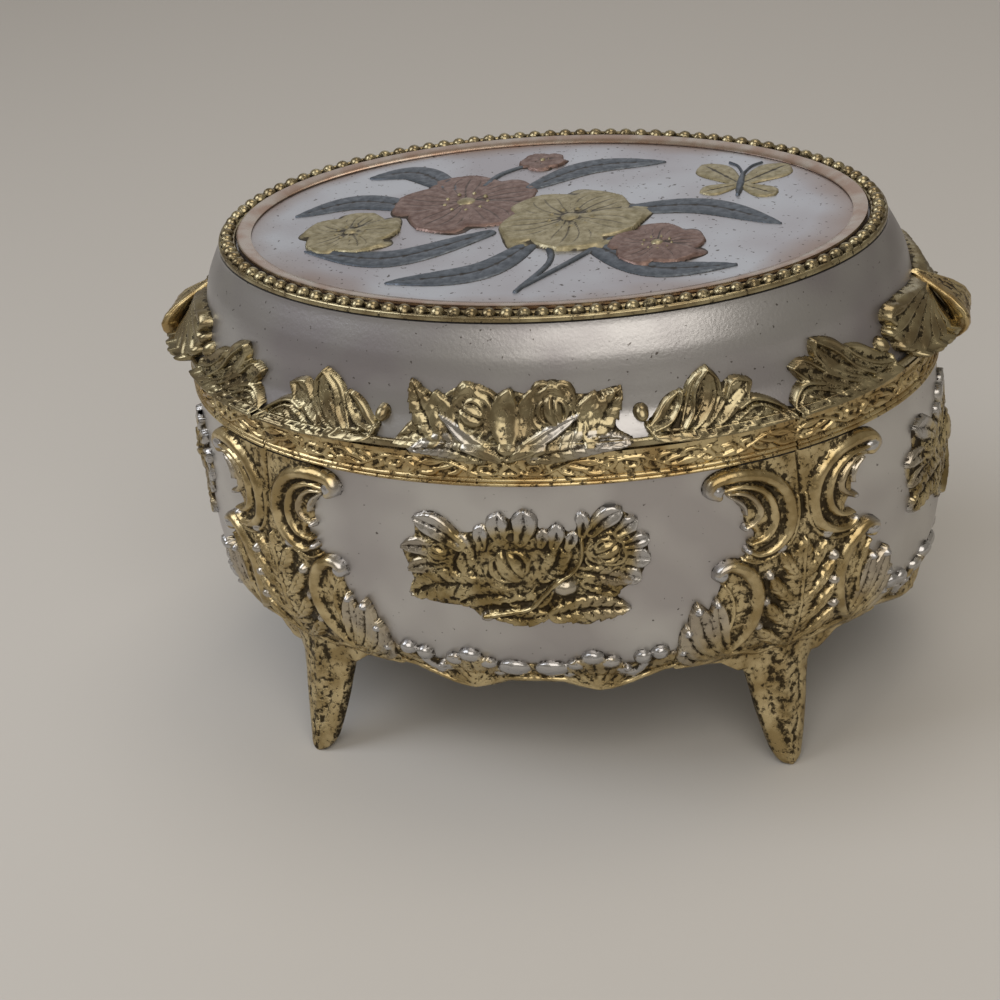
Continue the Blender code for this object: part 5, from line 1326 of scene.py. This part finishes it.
# Ribs: places, half width, lift share
SCROLL_RIBS = ((((24.6, 70.6), (21.6, 71.6), (19.6, 73.8), (18.9, 75.9)), 0.4, 1.05),
    (((19.4, 70.4), (17.5, 72.6), (16.5, 76.0), (14.0, 79.0)), 0.45, 1.15),
    (((13.9, 79.0), (12.2, 76.9), (12.2, 74.4)), 0.4, 1.1),
    (((11.4, 73.8), (10.0, 76.0), (8.6, 76.3), (6.3, 75.6)), 0.4, 1.1),
    (((6.4, 75.4), (7.0, 74.0), (7.6, 72.6)), 0.4, 1.0),
    (((9.4, 71.9), (7.0, 72.7), (4.8, 72.3), (2.3, 70.9), (1.0, 69.6), (0.6, 68.6)), 0.5, 1.15),
    (((9.0, 70.8), (6.6, 71.6), (4.6, 71.2), (2.6, 69.9), (1.8, 68.8)), 0.3, 0.95),
    (((25.7, 71.2), (23.6, 69.6), (14.7, 69.0), (7.0, 68.9), (0.5, 69.0)), 0.45, 1.0),
    (((24.2, 70.8), (21.0, 70.2), (18.2, 70.8), (15.6, 73.4)), 0.28, 0.9),
    (((20.6, 69.6), (17.8, 70.0), (15.4, 71.4), (13.4, 73.6)), 0.28, 0.9),
    (((18.0, 69.4), (15.4, 70.2), (13.4, 71.6), (11.6, 73.2)), 0.28, 0.85),
    (((15.6, 69.3), (13.2, 70.0), (11.2, 71.2), (9.6, 72.4)), 0.28, 0.85),
    (((12.8, 69.3), (10.4, 69.9), (8.2, 70.9)), 0.28, 0.8),
    (((9.8, 69.2), (7.6, 69.6), (5.4, 70.4)), 0.28, 0.8))
SCROLL_BALL = (26.3, 73.2)
SCROLL_BALL_RADIUS = 1.4 * MM
SCROLL_BALL_LIFT_SHARE = 1.2
SCROLL_TOP_SHARE = 1.02
SCROLL_RIB_TAPER_SHARE = 0.7
SCROLL_GROUND_SHARE = 0.4
SCROLL_EDGE = 0.6 * MM
SCROLL_DENTS = 0.08 * MM
# The scrolls beside the palmettes are a little shorter, and slant
END_SCROLL_SHARE, END_SCROLL_SLANT = 0.98, 0.6


def make_lid_scrolls():
    for length_name, distance, reach, hand in (("long", SEAM_TO_FRONT, ROSES_REACH, -1),
                                               ("end", SEAM_TO_END, PALMETTE_REACH, 1)):
        left, right = sorted((0.0, hand * (distance - reach)))
        relief = Relief(left, right, LID_FOOT, LID_FOOT + SCROLL_HEIGHT * SCROLL_TOP_SHARE)

        def spots(places):
            if length_name == "end":
                places = [(END_SCROLL_SHARE * x - END_SCROLL_SLANT * (y - LID_FOOT / MM), y)
                          for x, y in places]
            return in_metres(places, hand)

        slab(relief, spots(SCROLL_OUTLINE), SCROLL_GROUND_SHARE * SCROLL_RELIEF, SCROLL_EDGE)
        for places, width, lift, ribs in SCROLL_LEAVES:
            leaf(relief, spots(places), width * MM, lift * SCROLL_RELIEF, ribs=ribs, dish=0.5, stem=0.6,
                 fullest=0.55)
        for places, width, lift in SCROLL_RIBS:
            cord(relief, spots(places), [width * MM, SCROLL_RIB_TAPER_SHARE * width * MM],
                 lift * SCROLL_RELIEF)
        ball(relief, spots([SCROLL_BALL])[0], SCROLL_BALL_RADIUS, SCROLL_BALL_LIFT_SHARE * SCROLL_RELIEF)
        stipple(relief, SCROLL_DENTS)
        for corner, (side_x, side_y) in CORNERS.items():
            seam_angle = math.atan2(side_y * math.sin(SEAM_ANGLE), side_x * math.cos(SEAM_ANGLE))
            shape = flipped(relief) if side_x * side_y > 0 else relief
            name = "lid_" + corner + "_" + length_name
            piece = cast_relief(name + "_leaf", shape, seat_place(seam_angle, lid_seat), gilt_lid)
            dress(piece, "lid", "gilt", name + "_scroll")


def flipped(relief):
    """The same relief, left for right."""
    other = Relief.__new__(Relief)
    other.across = -relief.across[:, ::-1]
    other.up = relief.up[:, ::-1]
    other.level = relief.level[:, ::-1]
    other.silver = relief.silver[:, ::-1]
    return other


# One wing of a palmette: its outline, its ribs' outer ends, and its hook
WING_OUTLINE = ((0.5, 77.2), (8.0, 78.0), (14.0, 78.6), (19.2, 78.2), (20.9, 76.6), (20.2, 75.2),
    (21.0, 73.8), (19.6, 72.2), (19.4, 70.8), (16.8, 69.6), (13.6, 68.9), (10.0, 68.7), (6.6, 68.6),
    (3.6, 68.8), (0.5, 69.4))
WING_RIB_TIPS = ((19.6, 77.2), (20.4, 74.4), (19.2, 71.7), (16.6, 69.8), (13.2, 69.2), (9.8, 69.0),
    (6.4, 69.0), (3.4, 69.2))
WING_ROOT = (2.0, 76.4)
WING_HOOK = ((14.6, 77.7), (18.2, 78.2), (20.3, 77.2), (19.4, 75.8))
# Tongue: heights, and there its half width and how far its middle stands out from the oval
TONGUE_STATIONS = ((64.6, 0.8, 2.2), (65.8, 2.0, 3.2), (67.4, 3.2, 4.2), (69.2, 4.3, 4.7), (70.8, 4.9, 4.6),
                   (72.4, 4.7, 3.7), (74.2, 3.8, 1.7), (76.0, 2.5, -1.3), (77.6, 1.1, -4.2))
TONGUE_FOLD = 0.0009
TONGUE_THICKNESS = 0.0013
TONGUE_ROOT = 0.0034
TONGUE_POINTS, TONGUE_RINGS = 48, 56
TONGUE_RIBS = 5
TONGUE_RIB_HEIGHT = 0.0001
# Painted shade in the tongue's hollow, how much lighter the rest is kept, and the painted highlight on its
# ribs
TONGUE_SHADE_SHARE = 0.9
TONGUE_BRIGHT_SHARE = 0.3
TONGUE_RIB_HIGHLIGHT_SHARE = 0.25
# Palmette: the shell's ground, its ribs and the rolls at their ends
PALMETTE_HEIGHT = 0.0108
WING_GROUND_SHARE = 0.75
WING_EDGE = 0.9 * MM
WING_RIB_WIDTH = 1.25 * MM
WING_RIB_BEND = 0.9
WING_RIB_LIFT_SHARE = 0.95
WING_ROLL_RADIUS = 1.0 * MM
WING_ROLL_LIFT_SHARE = 0.9
WING_HOOK_WIDTHS = (0.4, 0.7, 0.6)
WING_HOOK_LIFT_SHARE = 1.15
WING_DENTS = 0.06 * MM
# Its flare starts at a height, is full a run below it, and dips behind the tongue
FLARE_START = 0.0790
FLARE_RUN = 0.0080
FLARE_REACH_SHARE = 1.05
FLARE_DIP_SHARE = 0.6


def make_palmettes():
    """Flared shells at the ends, each with a folded tongue in its middle, by which the lid is lifted."""
    relief = Relief(-PALMETTE_REACH, PALMETTE_REACH, LID_FOOT, LID_FOOT + PALMETTE_HEIGHT)
    for hand in (-1, 1):
        slab(relief, in_metres(WING_OUTLINE, hand), WING_GROUND_SHARE * PALMETTE_RELIEF, WING_EDGE)
        for tip in WING_RIB_TIPS:
            middle = ((tip[0] + WING_ROOT[0]) / 2, (tip[1] + WING_ROOT[1]) / 2 + WING_RIB_BEND)
            leaf(relief, in_metres([WING_ROOT, middle, tip], hand), WING_RIB_WIDTH,
                 WING_RIB_LIFT_SHARE * PALMETTE_RELIEF, dish=-0.1, stem=0.2, fullest=0.78)
            ball(relief, in_metres([tip], hand)[0], WING_ROLL_RADIUS,
                 WING_ROLL_LIFT_SHARE * PALMETTE_RELIEF)
        cord(relief, in_metres(WING_HOOK, hand), [width * MM for width in WING_HOOK_WIDTHS],
             WING_HOOK_LIFT_SHARE * PALMETTE_RELIEF)
    stipple(relief, WING_DENTS, coarseness=4)
    rise = np.clip((FLARE_START - relief.up) / FLARE_RUN, 0, 1) ** 0.9
    fade = np.clip(FLARE_REACH_SHARE - np.abs(relief.across) / PALMETTE_REACH, 0, 1) ** 0.7
    dip = 1 - FLARE_DIP_SHARE * np.exp(-(relief.across / PALMETTE_DIP) ** 2)
    flare = PALMETTE_FLARE * rise * fade * dip
    relief.level = np.where(relief.level > 0, relief.level + flare, relief.level)
    for side in ("right", "left"):
        piece = cast_relief(side + "_shell_wings", relief, seat_place(SIDES[side], lid_seat), gilt_lid)
        dress(piece, "lid", "gilt", side + "_palmette")
        dress(make_tongue(side), "lid", "gilt", side + "_palmette")


def make_tongue(side):
    """A trough with rolled edges: a closed section carried along its stations."""
    heights, widths, middles = (MM * np.array(column) for column in zip(*TONGUE_STATIONS))
    mesh, turn, share = wrapped_grid(TONGUE_POINTS, TONGUE_RINGS)
    outwards = np.sin(turn) > 0
    edgewise = np.abs(np.cos(turn))
    up = heights[0] + (heights[-1] - heights[0]) * share
    half_width = np.interp(up, heights, widths)
    fullness = half_width / widths.max()
    fold = TONGUE_FOLD * edgewise ** 1.8 * fullness
    depth = np.where(outwards, TONGUE_THICKNESS / 2, TONGUE_ROOT * fullness)
    half = depth * np.sign(np.sin(turn)) * np.abs(np.sin(turn)) ** 0.7
    ribs = np.cos(np.cos(turn) * TONGUE_RIBS * math.pi) * outwards
    offset = np.interp(up, heights, middles) + fold + half + TONGUE_RIB_HEIGHT * ribs
    points = on_oval(angle_at(SIDES[side], -half_width * np.cos(turn)), offset, up)
    # Painted shade in the trough of the outer face, and a painted highlight on the ribs' crests with
    # painted shade between them
    hollow_and_painted_shade = TONGUE_SHADE_SHARE * (1 - edgewise) * outwards - TONGUE_BRIGHT_SHARE
    hollow_and_painted_shade = hollow_and_painted_shade - TONGUE_RIB_HIGHLIGHT_SHARE * ribs
    return closed_from(side + "_tongue", mesh, points, hollow_and_painted_shade, gilt_band)


# Picture on the plate: across and back from its middle. Open blossoms on leafy stems, and a butterfly
PICTURE_LEAVES = (((-9, -8), (-25, -18), (-42, -14)), ((0, -12), (-8, -24), (-24, -28)),
    ((8, -11), (22, -23), (37, -22)), ((12, 1), (28, 3), (43, -5)), ((-20, 13), (-29, 22), (-38, 20)),
    ((-5, 13), (5, 23), (19, 25)), ((-24, 4), (-37, 8), (-48, 2)))
PICTURE_STEMS = (((1, -10), (4, -20), (0, -32)), ((14, -10), (8, -20), (1, -30)),
    ((-14, 14), (-12, 20), (-6, 26)))
# Blossoms: middle, reach of a petal, turn, height of its layer, tint
PICTURE_BLOSSOMS = (((-16, 6), 13.5, 0.4, 0.0, "rose"), ((5, -3), 13.0, 0.9, 0.35, "gold"),
                    ((22, -14), 8.5, 0.2, 0.2, "rose"), ((-35, -7), 9.0, 1.3, 0.2, "gold"),
                    ((-5, 26), 4.5, 0.7, 0.1, "rose"))
# Wings of the butterfly: tip and half width
PICTURE_WINGS = (((42, 23), 3.6), ((26, 23), 3.4), ((41, 8), 2.6), ((27, 9), 2.4))
BUTTERFLY = (34, 13)
INLAY_LIFT = 0.0004
PICTURE_CELL = 0.00028
PICTURE_HALF_LENGTH = 0.051
PICTURE_HALF_DEPTH = 0.033
PICTURE_LEAF_WIDTH = 3.3 * MM
PICTURE_STEM_WIDTHS = (0.7 * MM, 0.5 * MM)
PETALS = 5
PETAL_WIDTH_SHARE = 0.52
PETAL_BEND_SHARE = 0.55
PETAL_BEND_TURN = 0.12
PETAL_STEP = 0.05
STAMENS = 9
STAMEN_REACH_SHARE = 0.3
STAMEN_RADIUS_SHARE = 0.04
STAMEN_LIFT_SHARE = 1.8
EYE_RADIUS_SHARE = 0.15
EYE_LIFT_SHARE = 2.2
BUTTERFLY_BODY = ((34, 8), BUTTERFLY, (34, 18))
BUTTERFLY_BODY_WIDTHS = (0.4 * MM, 0.9 * MM, 0.5 * MM)
BUTTERFLY_BODY_LIFT_SHARE = 1.6
BUTTERFLY_FEELERS = (((34, 18), (32.8, 22), (31, 24)), ((34, 18), (35.2, 22), (37, 24)))
FEELER_WIDTH = 0.3 * MM


def model_blossom(reliefs, middle, reach, turn, layer, tint):
    def spot(angle, distance):
        return middle[0] + distance * math.cos(angle), middle[1] + distance * math.sin(angle)

    for petal in range(PETALS):
        angle = turn + math.tau * petal / PETALS
        line = [middle, spot(angle + PETAL_BEND_TURN, PETAL_BEND_SHARE * reach), spot(angle, reach)]
        leaf(reliefs[tint], in_metres(line), PETAL_WIDTH_SHARE * reach * MM, INLAY_LIFT,
             base=(layer + PETAL_STEP * petal) * MM, ribs=6, dish=0.3, stem=0.2, fullest=0.68)
    ball(reliefs["gold"], in_metres([middle])[0], EYE_RADIUS_SHARE * reach * MM,
         EYE_LIFT_SHARE * INLAY_LIFT, base=layer * MM)
    for stamen in range(STAMENS):
        place = spot(math.tau * stamen / STAMENS, STAMEN_REACH_SHARE * reach)
        ball(reliefs["gold"], in_metres([place])[0], STAMEN_RADIUS_SHARE * reach * MM,
             STAMEN_LIFT_SHARE * INLAY_LIFT, base=layer * MM)


def model_butterfly(reliefs):
    for tip, width in PICTURE_WINGS:
        leaf(reliefs["gold"], in_metres([BUTTERFLY, tip]), width * MM, INLAY_LIFT, ribs=4, veins=3,
             dish=0.2, fullest=0.68)
    cord(reliefs["slate"], in_metres(BUTTERFLY_BODY), BUTTERFLY_BODY_WIDTHS,
         BUTTERFLY_BODY_LIFT_SHARE * INLAY_LIFT)
    for feeler in BUTTERFLY_FEELERS:
        cord(reliefs["slate"], in_metres(feeler), [FEELER_WIDTH], INLAY_LIFT)


def make_picture(plate_top):
    """The inlaid picture: low tinted shapes with engraved lines."""
    tints = {"slate": slate_inlay, "rose": rose_inlay, "gold": gold_inlay}
    reliefs = {tint: Relief(-PICTURE_HALF_LENGTH, PICTURE_HALF_LENGTH, -PICTURE_HALF_DEPTH,
                            PICTURE_HALF_DEPTH, PICTURE_CELL) for tint in tints}
    for places in PICTURE_LEAVES:
        leaf(reliefs["slate"], in_metres(places), PICTURE_LEAF_WIDTH, INLAY_LIFT, veins=9, dish=0.2,
             fullest=0.5)
    for places in PICTURE_STEMS:
        cord(reliefs["slate"], in_metres(places), PICTURE_STEM_WIDTHS, INLAY_LIFT, roundness=4)
    for blossom in PICTURE_BLOSSOMS:
        model_blossom(reliefs, *blossom)
    model_butterfly(reliefs)

    def place(across, up, level):
        dome = PLATE_DOME * (1 - (across / PLATE_HALF_LENGTH) ** 2 - (up / PLATE_HALF_DEPTH) ** 2)
        return np.stack((across, up, plate_top + dome + level), axis=-1)

    for tint, material in tints.items():
        inlay = cast_relief("plate_" + tint + "_inlay", reliefs[tint], place, material,
                            recess_depth=FINE_RECESS_DEPTH)
        dress(inlay, "lid", "gilt", "lid_picture_plate")


# Inside

def oval_pad(name, offset, foot, thickness, crown, material):
    """A thin upholstered oval: a rounded edge and a slightly crowned, faintly uneven top."""
    shape = bmesh.new()
    bmesh.ops.create_cone(shape, cap_ends=True, segments=PAD_SEGMENTS, radius1=1, radius2=1, depth=1)
    for face in [face for face in shape.faces if len(face.verts) > 4]:
        for _ in range(PAD_RINGS):
            bmesh.ops.inset_individual(shape, faces=[face], thickness=1 / (PAD_RINGS + 1), depth=0)
    for vert in shape.verts:
        reach = min(1, math.hypot(vert.co.x, vert.co.y))
        rounding = max(0, (reach - 1 + PAD_ROUNDING_SHARE) / PAD_ROUNDING_SHARE)
        edge = math.sqrt(max(0, 1 - rounding ** 2))
        half = thickness / 2 * (PAD_EDGE_SHARE + (1 - PAD_EDGE_SHARE) * edge)
        wave = math.sin(PAD_WAVES[0] * vert.co.x) * math.sin(PAD_WAVES[1] * vert.co.y + 1)
        swell = crown * (PAD_WAVE_SHARE * wave + 1 - reach ** 4)
        height = foot + thickness / 2 + (half + swell if vert.co.z > 0 else -half)
        vert.co = (vert.co.x * (BAND_HALF_LENGTH + offset), vert.co.y * (BAND_HALF_DEPTH + offset), height)
    return put_in_scene(name, mesh_from(name, shape, CLOTH_CREASE_ANGLE), material)


def make_linings():
    pad_edge = float(wall_offset(FLOOR_PAD_FOOT)) - WALL_THICKNESS - SEAT_GAP
    floor_pad = oval_pad("velvet_floor", pad_edge, FLOOR_PAD_FOOT, PAD_THICKNESS, PAD_CROWN, velvet)
    dress(floor_pad, "body", "velvet", "floor_pad")
    outer = min(float(wall_offset(LINING_FOOT)), -WALL_TOP_INSET) - WALL_THICKNESS - SEAT_GAP
    inner = outer - LINING_THICKNESS
    middle = (outer + inner) / 2
    radius = LINING_THICKNESS / 2
    roll = [(middle + radius * math.cos(angle), LINING_TOP + radius * (math.sin(angle) - 1))
            for angle in np.linspace(0, math.pi, NOSE_POINTS)]
    heights = np.linspace(LINING_FOOT, LINING_TOP - LINING_THICKNESS, LINING_STEPS)
    profile = roll + [(inner, height) for height in heights[::-1]] + [(outer, height) for height in heights]
    lining = swept("velvet_wall", profile, velvet)
    dress(lining, "body", "velvet", "wall_lining")
    foot = LID_TOP - LID_THICKNESS - SEAT_GAP - PAD_THICKNESS
    edge = float(lid_offset(foot + PAD_THICKNESS)) - LID_THICKNESS - SEAT_GAP
    lid_pad = oval_pad("velvet_lid", edge, foot, PAD_THICKNESS, crown=0.0, material=velvet)
    dress(lid_pad, "lid", "velvet", "lid_lining")


def dress_cad_nodes():
    """The hinge and the bottom plate keep their own shapes and get their finish here."""
    for node, material in (("bottom_plate", steel), ("hinge_pin", steel), ("body_hinge_leaf", gilt_band),
                           ("lid_hinge_leaf", gilt_band)):
        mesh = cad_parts[node].data
        mesh.materials.clear()
        mesh.materials.append(material)


# Camera, light and floor

LENS = 82.8
SENSOR_WIDTH = 36
CAMERA_AZIMUTH, CAMERA_ELEVATION, CAMERA_ROLL = 13.63, 29.54, -6.37
CAMERA_TARGET = (-0.01448, 0, 0.02972)
CAMERA_DISTANCE = 0.4497
FLOOR_REACH = 2.0
FLOOR_DROP = 0.0001
FLOOR_SHADE_REACH = 1.4
LAMP_TARGET = (0, 0, 0.04)
# Lamps: name, place, size, power and colour
LAMPS = (("window", (-0.70, -0.15, 0.80), 0.60, 3.9, "#F2F6FF"),
         ("lamp", (0.20, -0.76, 0.80), 0.90, 5.1, "#FFF8F0"),
         ("ceiling", (0.15, 0.30, 1.10), 0.50, 2.0, "#FFF3E4"),
         ("back window", (-0.10, 1.10, 0.60), 0.90, 1.1, "#EEF3FF"))


def make_camera():
    camera_data = bpy.data.cameras.new("camera")
    camera_data.lens = LENS
    camera_data.sensor_width = SENSOR_WIDTH
    camera = bpy.data.objects.new("camera", camera_data)
    bpy.context.scene.collection.objects.link(camera)
    angles = (CAMERA_AZIMUTH, CAMERA_ELEVATION, CAMERA_ROLL)
    azimuth, elevation, roll = (math.radians(angle) for angle in angles)
    back = Vector((math.sin(azimuth) * math.cos(elevation), -math.cos(azimuth) * math.cos(elevation),
                   math.sin(elevation)))
    right = Vector((math.cos(azimuth), math.sin(azimuth), 0))
    above = back.cross(right)
    turned_right = right * math.cos(roll) + above * math.sin(roll)
    turned_above = above * math.cos(roll) - right * math.sin(roll)
    place = Vector(CAMERA_TARGET) + back * CAMERA_DISTANCE
    axes = zip(turned_right, turned_above, back, place)
    camera.matrix_world = Matrix([*axes, (0, 0, 0, 1)])
    bpy.context.scene.camera = camera


def make_floor():
    """A plain pale card, with painted shade that darkens it towards the back in place of the lamps' light
    falling off.
    """
    floor_material, tree, shader = new_material("pale_card")
    place = add_node(tree, "TexCoord").outputs["Object"]
    back = add_node(tree, "SeparateXYZ", {}, {0: place}).outputs["Y"]
    # Painted shade: the card darkens from the front to the back over FLOOR_SHADE_REACH
    share = add_node(tree, "MapRange", {"From Min": 0.0, "From Max": FLOOR_SHADE_REACH},
                     {"Value": back}).outputs["Result"]
    tone = add_node(tree, "Mix", {"data_type": "RGBA", 6: linear("#C3C1BD"), 7: linear("#756C61")},
                    {0: share})
    tree.links.new(tone.outputs[2], shader.inputs["Base Color"])
    shader.inputs["Roughness"].default_value = 0.6
    shape = bmesh.new()
    bmesh.ops.create_grid(shape, x_segments=8, y_segments=8, size=FLOOR_REACH)
    mesh = bpy.data.meshes.new("floor")
    shape.to_mesh(mesh)
    shape.free()
    floor = put_in_scene("floor", mesh, floor_material)
    floor.location.z = -FLOOR_DROP


def make_light():
    world = bpy.data.worlds.new("room")
    bpy.context.scene.world = world
    world.use_nodes = True
    background = world.node_tree.nodes["Background"]
    background.inputs["Color"].default_value = linear("#B2AB9F")
    background.inputs["Strength"].default_value = 0.6
    for name, place, size, power, colour in LAMPS:
        lamp_data = bpy.data.lights.new(name, "AREA")
        lamp_data.shape = "SQUARE"
        lamp_data.size = size
        lamp_data.energy = power
        lamp_data.color = linear(colour)[:3]
        lamp = bpy.data.objects.new(name, lamp_data)
        bpy.context.scene.collection.objects.link(lamp)
        lamp.location = place
        aim = Vector(LAMP_TARGET) - Vector(place)
        lamp.rotation_euler = aim.to_track_quat("-Z", "Y").to_euler()
    bpy.context.scene.view_settings.view_transform = "Standard"


make_camera()
make_floor()
make_light()
make_walls()
make_rim_bands()
make_rose_sprays()
make_legs()
make_aprons()
make_lid_shell()
make_bead_rim()
make_plate()
make_lid_roses()
make_lid_scrolls()
make_palmettes()
make_linings()
dress_cad_nodes()
